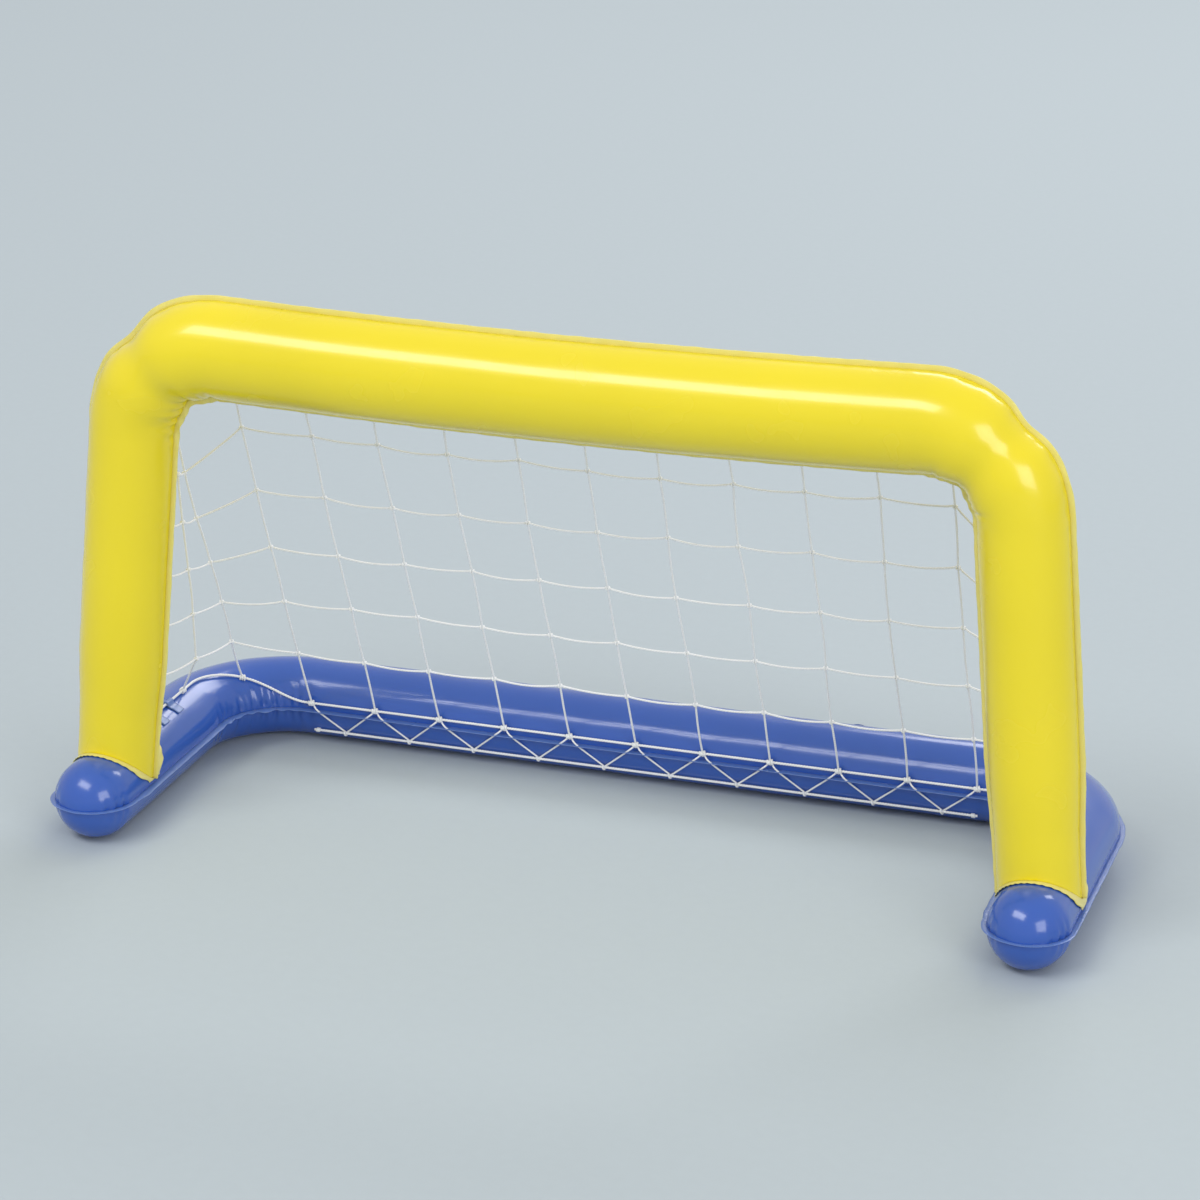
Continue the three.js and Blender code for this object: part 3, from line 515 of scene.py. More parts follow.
def crease_relief(distance, off, creases):
    """How far the film is drawn in at a distance along a weld and a way off it round the tube."""
    relief = np.zeros(np.broadcast(distance, off).shape)
    for place, depth, reach, width, slant in creases:
        near = np.abs(distance[:, 0] - place) < 4 * width + 0.3 * reach
        fade = np.clip(1 - off / reach, 0, 1) ** 1.5 * mix(0.3, 1, smooth(off, 0, CREASE_RISE))
        aside = distance[near] - place - slant * off
        relief[near] += depth * bump(aside, width * (1 + off / reach)) * fade
    return relief


def off_welds(angle, radius):
    """How far off the inner and the outer weld an angle is."""
    return [np.abs((angle - weld + np.pi) % (2 * np.pi) - np.pi) * radius for weld in (0, np.pi)]


def drawn_in(distance, angle, radius, inner_creases, outer_creases):
    """The creases' relief, with a shallow furrow on each side of both welds."""
    inner, outer = off_welds(angle, radius)
    furrow = FURROW_DEPTH * bump(np.minimum(inner, outer), FURROW_REACH)
    relief = crease_relief(distance, inner[None], inner_creases)
    return relief + crease_relief(distance, outer[None], outer_creases) + furrow


def waviness(distance, angle, amount):
    """Slow unevenness of the film, so that highlights are not ruler straight."""
    waves = np.zeros(np.broadcast(distance, angle).shape)
    for _ in range(WAVES):
        pitch = RANDOM.uniform(0.08, 0.35)
        turns = RANDOM.integers(0, 4)
        phase = RANDOM.uniform(0, 2 * np.pi, 2)
        waves += np.sin(2 * np.pi * distance / pitch + phase[0]) * np.cos(turns * angle + phase[1])
    return amount * (waves / WAVES - 1)


def pressed(points, places):
    """Film pushed in by what is drawn tight over it at each place."""
    for place in places:
        away = np.linalg.norm(points - place, axis=-1)
        near = away < 3 * DENT_REACH
        points[near] += REAR * (DENT_DEPTH * bump(away[near], DENT_REACH))[:, None]
    return points


# Ropes, from the same angles round the tubes as the CAD routes


def foot_rope_angle(distance):
    return mix(FOOT_ROPE_ARM_ANGLE, FOOT_ROPE_BACK_ANGLE, smooth(base.from_end(distance), *base.bends[0]))


def foot_rope_point(distance, offset=0.0):
    return base.surface(distance, foot_rope_angle(distance), BASE_RADIUS + ROPE_STANDOFF + offset)


def lower_rope_point(distance, offset=0.0):
    return base.surface(distance, LOWER_ROPE_ANGLE, BASE_RADIUS + ROPE_STANDOFF + offset)


def border_rope_point(distance):
    return arch.surface(distance, BORDER_ROPE_ANGLE, arch_radius(distance) + ROPE_STANDOFF)


def border_rope_at_height(height):
    return where(lambda distance: border_rope_point(distance)[:, 2], height, 0, arch.starts[1])


def rope_way(point_at, distance):
    return unit(point_at(distance + 0.002)[0] - point_at(distance - 0.002)[0])


BORDER_ROPE_START = border_rope_at_height(ROPE_FOOT_Z)
SIDE_NET_TOP = arch.starts[1] - SIDE_NET_DROP


# Materials


def feed(tree, node, values):
    """Fills a node's inputs: an output is linked, and a constant is set on the socket."""
    for name, value in values.items():
        if isinstance(value, bpy.types.NodeSocket):
            tree.links.new(value, node.inputs[name])
        else:
            node.inputs[name].default_value = value


def add(tree, kind, output, inputs=None, **settings):
    """The named output of a new node."""
    node = tree.nodes.new(kind)
    for name, value in settings.items():
        setattr(node, name, value)
    feed(tree, node, inputs or {})
    return node.outputs[output]


def new_material(name):
    """A material, its tree, its shader and its texture place."""
    material = bpy.data.materials.new(name)
    material.use_nodes = True
    tree = material.node_tree
    return material, tree, tree.nodes["Principled BSDF"], add(tree, "ShaderNodeTexCoord", "Object")


def noise(tree, place, scale, detail):
    return add(tree, "ShaderNodeTexNoise", "Fac", {"Vector": place, "Scale": scale, "Detail": detail})


def ranged(tree, source, low, high, out_low=0, out_high=1):
    limits = {"From Min": low, "From Max": high, "To Min": out_low, "To Max": out_high}
    return add(tree, "ShaderNodeMapRange", "Result", {"Value": source, **limits})


def tinted(tree, share, colour_a, colour_b):
    inputs = {"Factor": share, "A": colour_a, "B": colour_b}
    return add(tree, "ShaderNodeMix", "Result", inputs, data_type="RGBA")


def bumped(tree, height, strength, distance, **under):
    inputs = {"Height": height, "Strength": strength, "Distance": distance, **under}
    return add(tree, "ShaderNodeBump", "Normal", inputs)


def for_camera(tree, share, first, backdrop, output):
    """Blends a look into the backdrop by the share in which the camera sees that."""
    blend = add(tree, "ShaderNodeMixShader", "Shader", {"Fac": share, 1: first, 2: backdrop})
    feed(tree, tree.nodes[output], {"Surface": blend})


def shaded(colour, share=1.0):
    return (*(channel * share for channel in colour), 1)


def film(name, colour, roughness, sheer=0.0, embossed=False):
    """Glossy PVC film: faint cloudiness, orange peel, and scuffs in its gloss."""
    material, tree, shader, place = new_material(name)
    clouds = ranged(tree, noise(tree, place, 3.0, 2.0), 0.3, 0.7)
    scuffs = noise(tree, place, 14.0, 2.0)
    relief = bumped(tree, noise(tree, place, 260.0, 1.0), 0.05, 0.0003)
    if embossed:
        bands = {"Vector": add(tree, "ShaderNodeUVMap", "UV"), "Scale": 130.0}
        weld = add(tree, "ShaderNodeTexWave", "Fac", bands, wave_type="BANDS", bands_direction="X")
        relief = bumped(tree, weld, 0.35, 0.0004, Normal=relief)
    looks = {
        "Base Color": tinted(tree, clouds, shaded(colour, 0.95), shaded(colour, 1.03)),
        "Roughness": ranged(tree, scuffs, 0.35, 0.7, roughness - 0.03, roughness + 0.05),
        "Normal": relief,
        "IOR": 1.53,
        "Coat Weight": 0.35,
        "Coat Roughness": 0.07,
        "Transmission Weight": sheer,
        "Subsurface Weight": 0.06,
        "Subsurface Radius": (0.006, 0.005, 0.002),
        "Subsurface Scale": 1.0,
    }
    feed(tree, shader, looks)
    return material


def cord_finish(name, colour, soiled):
    """Twisted white cord: painted shade darkens the grooves of its lay in its base colour, and fibres
    roughen it.
    """
    material, tree, shader, place = new_material(name)
    # One turn of the lay is 8 mm of length for once round the cord
    slant = {0: add(tree, "ShaderNodeUVMap", "UV"), 1: (250.0, 2.0, 0.0)}
    slanted = add(tree, "ShaderNodeVectorMath", "Value", slant, operation="DOT_PRODUCT")
    turn = add(tree, "ShaderNodeMath", "Value", {0: slanted, 1: 0.5}, operation="PINGPONG")
    # Painted shade: the base colour is darker in the lay's grooves and a little lighter on its ridges
    light = tinted(tree, ranged(tree, turn, 0.0, 0.35), shaded(colour, 0.86), shaded(colour, 1.02))
    dirt = ranged(tree, noise(tree, place, 20.0, 3.0), 0.55, 0.8, 0, 0.2)
    relief = bumped(tree, turn, 0.35, 0.0005)
    looks = {
        "Base Color": tinted(tree, dirt, light, shaded(soiled)),
        "Normal": bumped(tree, noise(tree, place, 1500.0, 3.0), 0.2, 0.0001, Normal=relief),
        "Roughness": 0.62,
        "Sheen Weight": 0.2,
    }
    feed(tree, shader, looks)
    return material


FINISHES = {
    "yellow_vinyl": film("yellow_film", (0.86, 0.7, 0.008), 0.24),
    "blue_vinyl": film("blue_film", (0.03, 0.102, 0.45), 0.2),
    "pale_yellow_vinyl": film("yellow_weld", (0.9, 0.8, 0.22), 0.32, sheer=0.12, embossed=True),
    "pale_blue_vinyl": film("blue_weld", (0.11, 0.21, 0.56), 0.3, sheer=0.12, embossed=True),
    "clear_vinyl": film("clear_film", (0.92, 0.94, 0.95), 0.26, sheer=0.45),
    "white_cord": cord_finish("white_cord", (0.9, 0.91, 0.93), (0.8, 0.8, 0.77)),
}


def finish(piece, slot, *nodes, body="goal"):
    piece.data.materials.clear()
    piece.data.materials.append(FINISHES[slot])
    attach(piece, body)
    if nodes:
        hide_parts(*nodes)


# Valve places, from the frame's joints

joints = {joint["name"]: joint for joint in frame["joints"]}


def valve_frame(name):
    """A valve's matrix: Z out of the tube, X along the strap, origin at its flange's back."""
    slide, hinge = joints[f"{name}_valve_push"], joints[f"{name}_plug_hinge"]
    outward_way, across = Vector(slide["axis"]).normalized(), Vector(hinge["axis"]).normalized()
    strap_way = across.cross(outward_way)
    origin = Vector(hinge["pos_m"]) - strap_way * STRAP_REACH - outward_way * HINGE_HEIGHT
    placed = Matrix((strap_way, across, outward_way)).transposed().to_4x4()
    placed.translation = origin
    return placed


VALVES = {name: valve_frame(name) for name in ("arch", "base")}


def seated(points, name):
    """The film's flat seat round a valve."""
    ways = np.array(VALVES[name].to_3x3())
    local = (points - np.array(VALVES[name].translation)) @ ways
    off = np.hypot(local[..., 0], local[..., 1])
    share = 1 - smooth(off, *(VALVE_SEAT_RADIUS + edge for edge in VALVE_SEAT_EDGE))
    share = share * (local[..., 2] > -VALVE_SEAT_RADIUS)
    drop = np.minimum(-SEAT_GAP - local[..., 2], 0) * share
    return points + drop[..., None] * ways[:, 2]


# Chambers


def laced_at(k):
    return BACK_MIDDLE + k * LACING_PITCH


def lacing_crossing(k, sideways):
    """Where the lacing goes through the weld margin on one side of its turn k."""
    top = foot_rope_point(laced_at(k), LACING_OVER)[0]
    bottom = lower_rope_point(laced_at(k + sideways / 2), LACING_OVER)[0]
    crossing = mix(top, bottom, (top[2] - AXIS_Z) / (top[2] - bottom[2]))
    crossing[1] = BACK_Y - BASE_RADIUS - EYELET_INSET
    return crossing


def lacing_dents():
    turns = np.array(LACED_TURNS)
    upper = foot_rope_point(laced_at(turns), -ROPE_RADIUS)
    return [*upper, *lower_rope_point(laced_at(turns[:-1] + 0.5), -ROPE_RADIUS)]


def chamber(name, part, slot):
    """A tube's skin, with the pocket that its valve's stem stands in."""
    piece = tubes_object(f"{name}_skin", part)
    depth = POCKET_DEPTH + CUT_OVERRUN
    bpy.ops.mesh.primitive_cylinder_add(radius=POCKET_RADIUS, depth=depth, vertices=48)
    cutter = bpy.context.object
    cutter.matrix_world = VALVES[name] @ Matrix.Translation((0, 0, CUT_OVERRUN - depth / 2))
    cut(piece, cutter)
    finish(piece, slot, f"{name}_chamber")


def base_skin():
    """The blue tube, with round ends and a flat strip where it stands."""
    angle = full_turn(TUBE_SIDES)
    lead = BASE_RADIUS * np.sin(np.linspace(np.pi / 2, 0, 26)[1:-1])
    straight = np.arange(0, base.length, BASE_STEP)
    stations = np.concatenate([-lead, straight, [base.length], base.length + lead[::-1]])
    held = np.clip(stations, 0, base.length)
    beyond = np.abs(stations - held)[:, None]
    centre, along, inside = base.station(held)
    centre = centre + along * (stations - held)[:, None]
    distance = stations[:, None]
    radius = BASE_RADIUS - drawn_in(distance, angle, BASE_RADIUS, base_inner_creases, base_outer_creases)
    radius += waviness(distance, angle[None], BASE_WAVINESS)
    tip_fade = bump(np.minimum(*off_welds(angle, BASE_RADIUS)), TIP_PUCKER_REACH) * smooth(beyond, 0, 0.02)
    radius -= TIP_PUCKER_DEPTH * tip_fade * (1 + np.sin(beyond * 2 * np.pi / TIP_PUCKER_PITCH))
    radius *= np.sqrt(np.clip(1 - (beyond / BASE_RADIUS) ** 2, 0, 1))
    points = centre[:, None] + radius[..., None] * swung(inside[:, None], UP, angle)
    points = seated(pressed(points, lacing_dents()), "base")
    points[..., 2] = np.maximum(points[..., 2], 0.0)
    tips = []
    for end, way in ((0, -1), (base.length, 1)):
        middle, along, _ = base.one_station(end)
        tips.append(middle + along * way * BASE_RADIUS)
    chamber("base", tube_part(points, tips), "blue_vinyl")


def saddle_distance(angle, side):
    """Where the post's film meets the arm below it, for each angle round the post."""
    tries = np.linspace(0, SADDLE_SEARCH, 801)
    found = []
    for turn in angle:
        x, _, z = arch.surface(arch.mirrored(tries, side), turn, POST_FOOT_RADIUS).T
        clear = np.hypot(x - side * ARM_X, z - AXIS_Z) - BASE_RADIUS - SEAT_GAP
        found.append(np.interp(0, clear, tries))
    return np.array(found)


def cap_rows(ring, side):
    """Rings that close a post's foot over the arm's round top."""
    rows = mix(ring.mean(0), ring, np.array(CAP_SHARES)[:, None, None])
    rows[..., 2] = AXIS_Z + np.sqrt((BASE_RADIUS + SEAT_GAP) ** 2 - (rows[..., 0] - side * ARM_X) ** 2)
    return rows


def arch_skin():
    """The yellow tube, from one arm up, over and down to the other."""
    angle = full_turn(TUBE_SIDES)
    shares = np.linspace(0, 1, 36)[:-1, None]
    start_rows = mix(saddle_distance(angle, -1), FOOT_BLEND_END, shares)
    middle_rows = np.arange(FOOT_BLEND_END, arch.length - FOOT_BLEND_END, ARCH_STEP)[:, None]
    end_rows = arch.length - mix(saddle_distance(angle, 1), FOOT_BLEND_END, shares[::-1])
    distance = np.vstack([start_rows, np.repeat(middle_rows, TUBE_SIDES, 1), end_rows])
    centre, _, inside = (values.reshape(*distance.shape, 3) for values in arch.station(distance.ravel()))
    radius = arch_radius(distance)
    radius -= drawn_in(distance, angle, POST_RADIUS, arch_inner_creases, arch_outer_creases)
    notch = NOTCH_DEPTH * at_arch_bends(distance, NOTCH_HALF_WIDTH)
    radius -= notch * np.clip(-np.cos(angle), 0, 1) ** 2
    uneven = smooth(arch.from_end(distance), 0.07, 0.12)
    radius += waviness(distance, angle[None], ARCH_WAVINESS) * uneven
    points = seated(centre + radius[..., None] * swung(inside, REAR, angle), "arch")
    points = np.concatenate([cap_rows(points[0], -1)[::-1], points, cap_rows(points[-1], 1)])
    chamber("arch", tube_part(points), "yellow_vinyl")


base_skin()
arch_skin()


# Weld margins: flat strips of film along the welds, rippled where the tubes pucker


def ripple(distance, creases, amount):
    """A strip's waves out of its plane, with the creases of its weld."""
    waves = np.zeros(len(distance))
    for i, (place, depth, _, width, _) in enumerate(creases):
        waves += (-1) ** (i + 1) * depth * bump(distance - place, 2.2 * width)
    return np.clip(waves * amount, -RIPPLE_LIMIT, RIPPLE_LIMIT)


def strip_rings(seam, way, lift, width, wave):
    """Closed sections of a strip that stands out from a weld, with an uneven edge."""
    across = np.array([-0.45, 0.25, 0.6, 0.9, 1.0, 0.9, 0.6, 0.25, -0.45])
    side = np.array([1, 1, 1, 0.9, 0.0, -0.9, -1, -1, -1]) * FILM / 2
    reach = across * (width + SEAM_INSET)[:, None]
    out = side + wave[:, None] * np.clip(across, 0, 1) ** 1.5
    return seam[:, None] + way[:, None] * reach[..., None] + lift * out[..., None]


def edge_wobble(distance):
    waves = [np.sin(2 * np.pi * distance / pitch + pitch * 900) for pitch in (0.031, 0.053, 0.117)]
    return EDGE_WOBBLE * (sum(waves) / len(waves) - 1)


def arch_margin(sign, creases, name):
    distance = np.arange(MARGIN_END, arch.length - MARGIN_END, MARGIN_STEP)
    centre, _, inside = arch.station(distance)
    way = inside * sign
    notch = NOTCH_DEPTH * at_arch_bends(distance, NOTCH_HALF_WIDTH) * (sign < 0)
    seam = centre + way * (arch_radius(distance) - SEAM_INSET - notch)[:, None]
    width = OUTER_MARGIN + edge_wobble(distance)
    rings = strip_rings(seam, way, REAR, width, ripple(distance, creases, OUTER_RIPPLE))
    piece = tubes_object(f"{name}_margin", tube_part(rings))
    finish(piece, "pale_yellow_vinyl", f"{name}_weld_margin")


def base_margin():
    """One strip round the whole base: outside, round an end, back along the inside, and round."""
    distance = np.arange(0, base.length, MARGIN_STEP)
    centre, _, inside = base.station(distance)
    turn = np.linspace(0, np.pi, MARGIN_END_STEPS + 2)[1:-1]
    ends = []
    for end, sign in ((base.length, 1), (0, -1)):
        middle, along, toward = base.one_station(end)
        ends.append((middle, sign * swung(-toward, along, turn)))
    stretches = [(centre, -inside), ends[0], (centre[::-1], inside[::-1]), ends[1]]
    seam = np.vstack([middle + way * (BASE_RADIUS - SEAM_INSET) for middle, way in stretches])
    inner_laced = smooth(base.from_end(distance), 0, LACED_EASE)[::-1]
    flat_back = 1 - np.exp(-((np.abs(distance - BACK_MIDDLE) / LACED_FLAT_HALF) ** 16))
    plain = np.zeros(MARGIN_END_STEPS)
    laced = np.concatenate([0 * distance, plain, inner_laced, plain])
    width = mix(OUTER_MARGIN, 2 * EYELET_INSET, laced) + edge_wobble(travelled(seam))
    outer_wave = ripple(distance, base_outer_creases, OUTER_RIPPLE)
    inner_wave = (ripple(distance, base_inner_creases, INNER_RIPPLE) * flat_back)[::-1]
    wave = np.concatenate([outer_wave, plain, inner_wave, plain])
    rings = strip_rings(seam, np.vstack([way for _, way in stretches]), UP, width, wave)
    piece = tubes_object("base_margin", tube_part(rings, joined=True))
    circle = swung(EAST, REAR, full_turn(20)) * EYELET_RADIUS
    cutters = [prism(place + circle, UP, -CUT_OVERRUN, CUT_OVERRUN) for place in eyelet_places()]
    cut(piece, tubes_object("eyelet_cutter", *cutters))
    finish(piece, "pale_blue_vinyl", "base_weld_margin")


def eyelet_places():
    return [lacing_crossing(k, way) for k in LACED_TURNS for way in (-1, 1) if k + way in LACED_TURNS]


def eyelet_rims():
    """The pressed rim of film round each eyelet."""
    circle = swung(EAST, REAR, full_turn(28))[:, None]
    section = full_turn(8)
    reach = EYELET_RADIUS + RIM_RADIUS * (1 + np.cos(section))
    rim = circle * reach[:, None] + UP * (RIM_HALF_HEIGHT * np.sin(section))[:, None]
    parts = [tube_part(place + rim, joined=True) for place in eyelet_places()]
    finish(tubes_object("eyelet_rims", *parts), "pale_blue_vinyl")


arch_margin(-1, arch_outer_creases, "arch_outer")
arch_margin(1, arch_inner_creases, "arch_inner")
base_margin()
eyelet_rims()


def weld_ring(side, word):
    """The band of film that welds a post's foot down over its arm, with a lobe on each side."""
    lean = POST_LEAN / (CROSSBAR_Z - AXIS_Z)
    most = math.asin((RING_SHELL - RING_END_GAP) / RING_SHELL) - RING_END_ANGLE
    turn = np.linspace(-most, most, 121)[:, None]
    x_off, height = RING_SHELL * np.sin(turn), RING_SHELL * np.cos(turn)
    off_axis = np.abs(x_off + side * lean * height) * math.cos(math.atan(lean))
    inner, outer = (
        np.sqrt(np.clip((POST_FOOT_RADIUS + reach) ** 2 - off_axis**2, 0, None))
        for reach in (SEAT_GAP, RING_WIDTH)
    )
    lobe = 1 - 0.45 * smooth(np.abs(turn), most - RING_LOBE_ANGLE, most)
    shares = np.linspace(0, 1, 9)
    y_off = mix(inner, outer * lobe, shares)
    stretch = 1 + RING_WAVE * np.sin(turn * 40 + y_off * 300) * shares / RING_SHELL
    x, z = side * ARM_X + x_off * stretch, AXIS_Z + height * stretch
    mesh = bmesh.new()
    for way in (-1, 1):
        places = np.stack([x, ARCH_Y + way * y_off, z], axis=-1)
        grid = [[mesh.verts.new(place) for place in row] for row in places]
        for first, second in zip(grid, grid[1:]):
            for k in range(len(shares) - 1):
                mesh.faces.new((first[k], first[k + 1], second[k + 1], second[k]))
    bmesh.ops.remove_doubles(mesh, verts=mesh.verts, dist=MERGE_DISTANCE)
    bmesh.ops.recalc_face_normals(mesh, faces=mesh.faces)
    piece = mesh_object(f"{word}_foot_weld", np.zeros((0, 3)), [])
    mesh.to_mesh(piece.data)
    mesh.free()
    piece.data.shade_smooth()
    thick = piece.modifiers.new("thickness", "SOLIDIFY")
    thick.thickness = FILM
    thick.offset = 0
    apply_modifiers(piece)
    finish(piece, "pale_yellow_vinyl", f"{word}_post_weld_ring")


weld_ring(-1, "left")
weld_ring(1, "right")


# Ropes and lacing


def helix(centre, axis, radius, turns, climb, start_way, steps=14):
    """Points of a coil round an axis that starts towards start_way."""
    axis = unit(axis)
    first = unit(start_way - axis * (start_way @ axis))
    turn = np.linspace(0, turns * 2 * np.pi, max(int(turns * steps), 4))
    coil = radius * swung(first, np.cross(axis, first), turn)
    return centre + coil + axis * (climb * turn / (2 * np.pi))[:, None]


def end_knot(point_at, at, way):
    """A stopper knot near a rope's end: close turns round it."""
    middle = point_at(at + way * END_KNOT_INSET)[0]
    axis = way * rope_way(point_at, at + way * END_KNOT_INSET)
    start = middle - axis * END_KNOT_TURNS * END_KNOT_CLIMB / 2
    start_way = np.cross(axis, UP) + UP * 0.1
    coil = helix(start, axis, ROPE_RADIUS * 0.95, END_KNOT_TURNS, END_KNOT_CLIMB, start_way)
    return cord_part(spaced(coil, COIL_STEP), ROPE_RADIUS * 0.75)


def hitch(point_at, at, neighbour):
    """A cord wound round a rope, starting on the side that the cord comes from."""
    place, axis = point_at(at)[0], rope_way(point_at, at)
    climb = CORD_RADIUS * 2.1
    start = place - axis * climb * HITCH_TURNS / 2
    coil = helix(start, axis, ROPE_RADIUS + KNOT_CORD_RADIUS, HITCH_TURNS, climb, neighbour - place)
    return cord_part(spaced(coil, COIL_STEP), CORD_RADIUS, sides=7)


def rope(name, point_at, start, end):
    points = point_at(np.linspace(start, end, int((end - start) / ROPE_STEP)))
    knots = [end_knot(point_at, at, way) for at, way in ((start, 1), (end, -1))]
    piece = tubes_object(name, cord_part(points, ROPE_RADIUS, sides=12, lay=ROPE_LAY), *knots)
    finish(piece, "white_cord", f"net_{name}")


def lacing_turn(point_at, k, way):
    """One turn of the lacing round a rope, from its open side over and back under."""
    turn = np.linspace(-0.5, 1.5, 13) * np.pi
    coil = (ROPE_RADIUS + LACING_RADIUS * 0.9) * swung(-REAR, UP * way, turn)
    return [*(point_at(laced_at(k)) + coil + EAST * (LACING_SHIFT * (turn / np.pi - 0.5))[:, None])]


def lacing():
    """One cord that zigzags between the two ropes through the eyelets, with a turn at each rope."""
    points = []
    for k in LACED_TURNS:
        if k > -LACED_COLUMNS:
            points += [*lacing_turn(lower_rope_point, k - 0.5, -1), lacing_crossing(k, -1)]
        points += lacing_turn(foot_rope_point, k, 1)
        if k < LACED_COLUMNS:
            points.append(lacing_crossing(k, 1))
    part = cord_part(spaced(np.array(points), LACING_STEP), LACING_RADIUS)
    finish(tubes_object("lacing", part), "white_cord", "net_lacing")


rope("border_rope", border_rope_point, BORDER_ROPE_START, arch.length - BORDER_ROPE_START)
rope("foot_rope", foot_rope_point, FIRST_FOOT_POINT, base.length - FIRST_FOOT_POINT)
rope("lower_rope", lower_rope_point, BACK_MIDDLE - LACED_HALF, BACK_MIDDLE + LACED_HALF)
lacing()


# Net


def column_distance(route, point_at, k):
    """Where a column of the net is tied to a rope."""
    reach = abs(k) * MESH_WIDTH
    found = where(lambda distance: -point_at(distance)[:, 0], reach, route.starts[1], route.length / 2)
    return route.mirrored(found, k)


def net_top_distance(k):
    if abs(k) == NET_COLUMNS:
        return arch.mirrored(SIDE_NET_TOP, k)
    return column_distance(arch, border_rope_point, k)


def net_bottom_distance(k):
    return column_distance(base, foot_rope_point, k)


def net_column(k):
    """A column's knots from the border rope to the foot rope."""
    share = np.linspace(0, 1, NET_ROWS + 1)[:, None]
    top, bottom = border_rope_point(net_top_distance(k)), foot_rope_point(net_bottom_distance(k))
    return mix(top, bottom, share) - UP * NET_SAG * np.sin(np.pi * share)


def strand(knots, droop=0.0):
    """A cord through its knots, hanging a little between each pair."""
    points = []
    shares = np.linspace(0, 1, 9)[:-1, None]
    hang = np.sin(np.pi * shares)
    for first, last in zip(knots, knots[1:]):
        level = 1 - abs(float(unit(last - first) @ UP))
        sway = RANDOM.uniform(-SWAY, SWAY, 3) * SWAY_SHARES
        points.append(mix(first, last, shares) + hang * sway - hang * UP * droop * level)
    return cord_part(spaced(np.vstack([*points, knots[-1:]]), STRAND_STEP), CORD_RADIUS)


def knot_parts(place, along, across):
    """A netting knot: the column's cord makes a turn round the row's, and closes over itself."""
    across = unit(across)
    normal = unit(np.cross(across, unit(along)))
    along = np.cross(normal, across)
    lines = []
    for side in (-1, 1):
        middle, axis = place + across * side * 0.0014, across + along * 0.35 * side
        lines.append(helix(middle, axis, CORD_RADIUS * 1.55, 1.0, 0.0, normal, steps=16))
    turn = np.linspace(-0.9, 0.9, 9)[:, None]
    bowed = along * 0.0016 * turn**2 + normal * (0.0026 - 0.0014 * turn**2)
    lines.append(place + across * turn * 0.0028 + bowed)
    return [cord_part(points, KNOT_CORD_RADIUS, sides=7) for points in lines]


def net_back():
    columns = range(-NET_COLUMNS, NET_COLUMNS + 1)
    grid = np.array([net_column(k) for k in columns])
    jitter = RANDOM.uniform(-NET_JITTER, NET_JITTER, grid.shape) * SWAY_SHARES
    jitter[:, [0, -1]] = 0
    grid += jitter
    parts = []
    for column, k in zip(grid, columns):
        parts.append(strand(column))
        parts.append(hitch(border_rope_point, net_top_distance(k), column[1]))
        parts.append(hitch(foot_rope_point, net_bottom_distance(k), column[-2]))
    for row in range(1, NET_ROWS):
        knots = grid[:, row]
        parts.append(strand(knots, ROW_DROOP))
        for i, column in enumerate(grid):
            before, after = knots[max(i - 1, 0)], knots[min(i + 1, len(knots) - 1)]
            parts += knot_parts(knots[i], column[row + 1] - column[row - 1], after - before)
    finish(tubes_object("net_back_cords", *parts), "white_cord", "net_back")
    return grid


def post_row_distance(row, side):
    height = mix(border_rope_point(SIDE_NET_TOP)[0][2], ROPE_FOOT_Z, row / NET_ROWS)
    return arch.mirrored(border_rope_at_height(height), side)


def net_side(side, outer_column, word):
    parts, middles = [], []
    for row in range(1, NET_ROWS):
        at = post_row_distance(row, side)
        end = border_rope_point(at)[0]
        middle = (outer_column[row] + end) / 2
        middles.append(middle)
        parts.append(strand(np.array([outer_column[row], middle, end]), SIDE_ROW_DROOP))
        parts.append(hitch(border_rope_point, at, middle))
    foot_at = (net_bottom_distance(side * NET_COLUMNS) + base.mirrored(FIRST_FOOT_POINT, side)) / 2
    knots = np.array([*middles, foot_rope_point(foot_at)[0]])
    parts.append(strand(knots))
    parts.append(hitch(foot_rope_point, foot_at, middles[-1]))
    for i, middle in enumerate(middles):
        along = knots[i + 1] - knots[max(i - 1, 0)]
        parts += knot_parts(middle, along, outer_column[i + 1] - middle)
    finish(tubes_object(f"net_{word}_cords", *parts), "white_cord", f"net_{word}_side")


net_grid = net_back()
net_side(-1, net_grid[0], "left")
net_side(1, net_grid[-1], "right")


# Rope keepers: straps of film welded down on each side of the rope


def keeper(node, route, at, angle, radius):
    turn = np.linspace(-KEEPER_TURN, KEEPER_TURN, 49)
    aside = np.abs(turn) * radius
    rise = KEEPER_RISE * (1 - smooth(aside, KEEPER_BRIDGE_HALF * 0.35, KEEPER_BRIDGE_HALF * 1.5))
    along = np.linspace(-0.5, 0.5, 13)
    corner = np.clip((np.abs(along) - 0.42) / 0.08, 0, 1)
    turns = np.concatenate([turn, turn[::-1]]) * (1 - 0.02 * corner**2)[:, None]
    reach = radius + SEAT_GAP * 0.6 + np.concatenate([rise + FILM, rise[::-1]])
    centre, way, inside = route.one_station(at)
    section = swung(inside, route.lift, angle + turns) * reach[:, None]
    rings = centre + way * KEEPER_LENGTH * along[:, None, None] + section
    slot = "pale_yellow_vinyl" if route is arch else "pale_blue_vinyl"
    finish(tubes_object(f"{node}_strap", tube_part(rings)), slot, node)


def arch_keeper(node, at):
    keeper(node, arch, at, BORDER_ROPE_ANGLE, arch_radius(at))


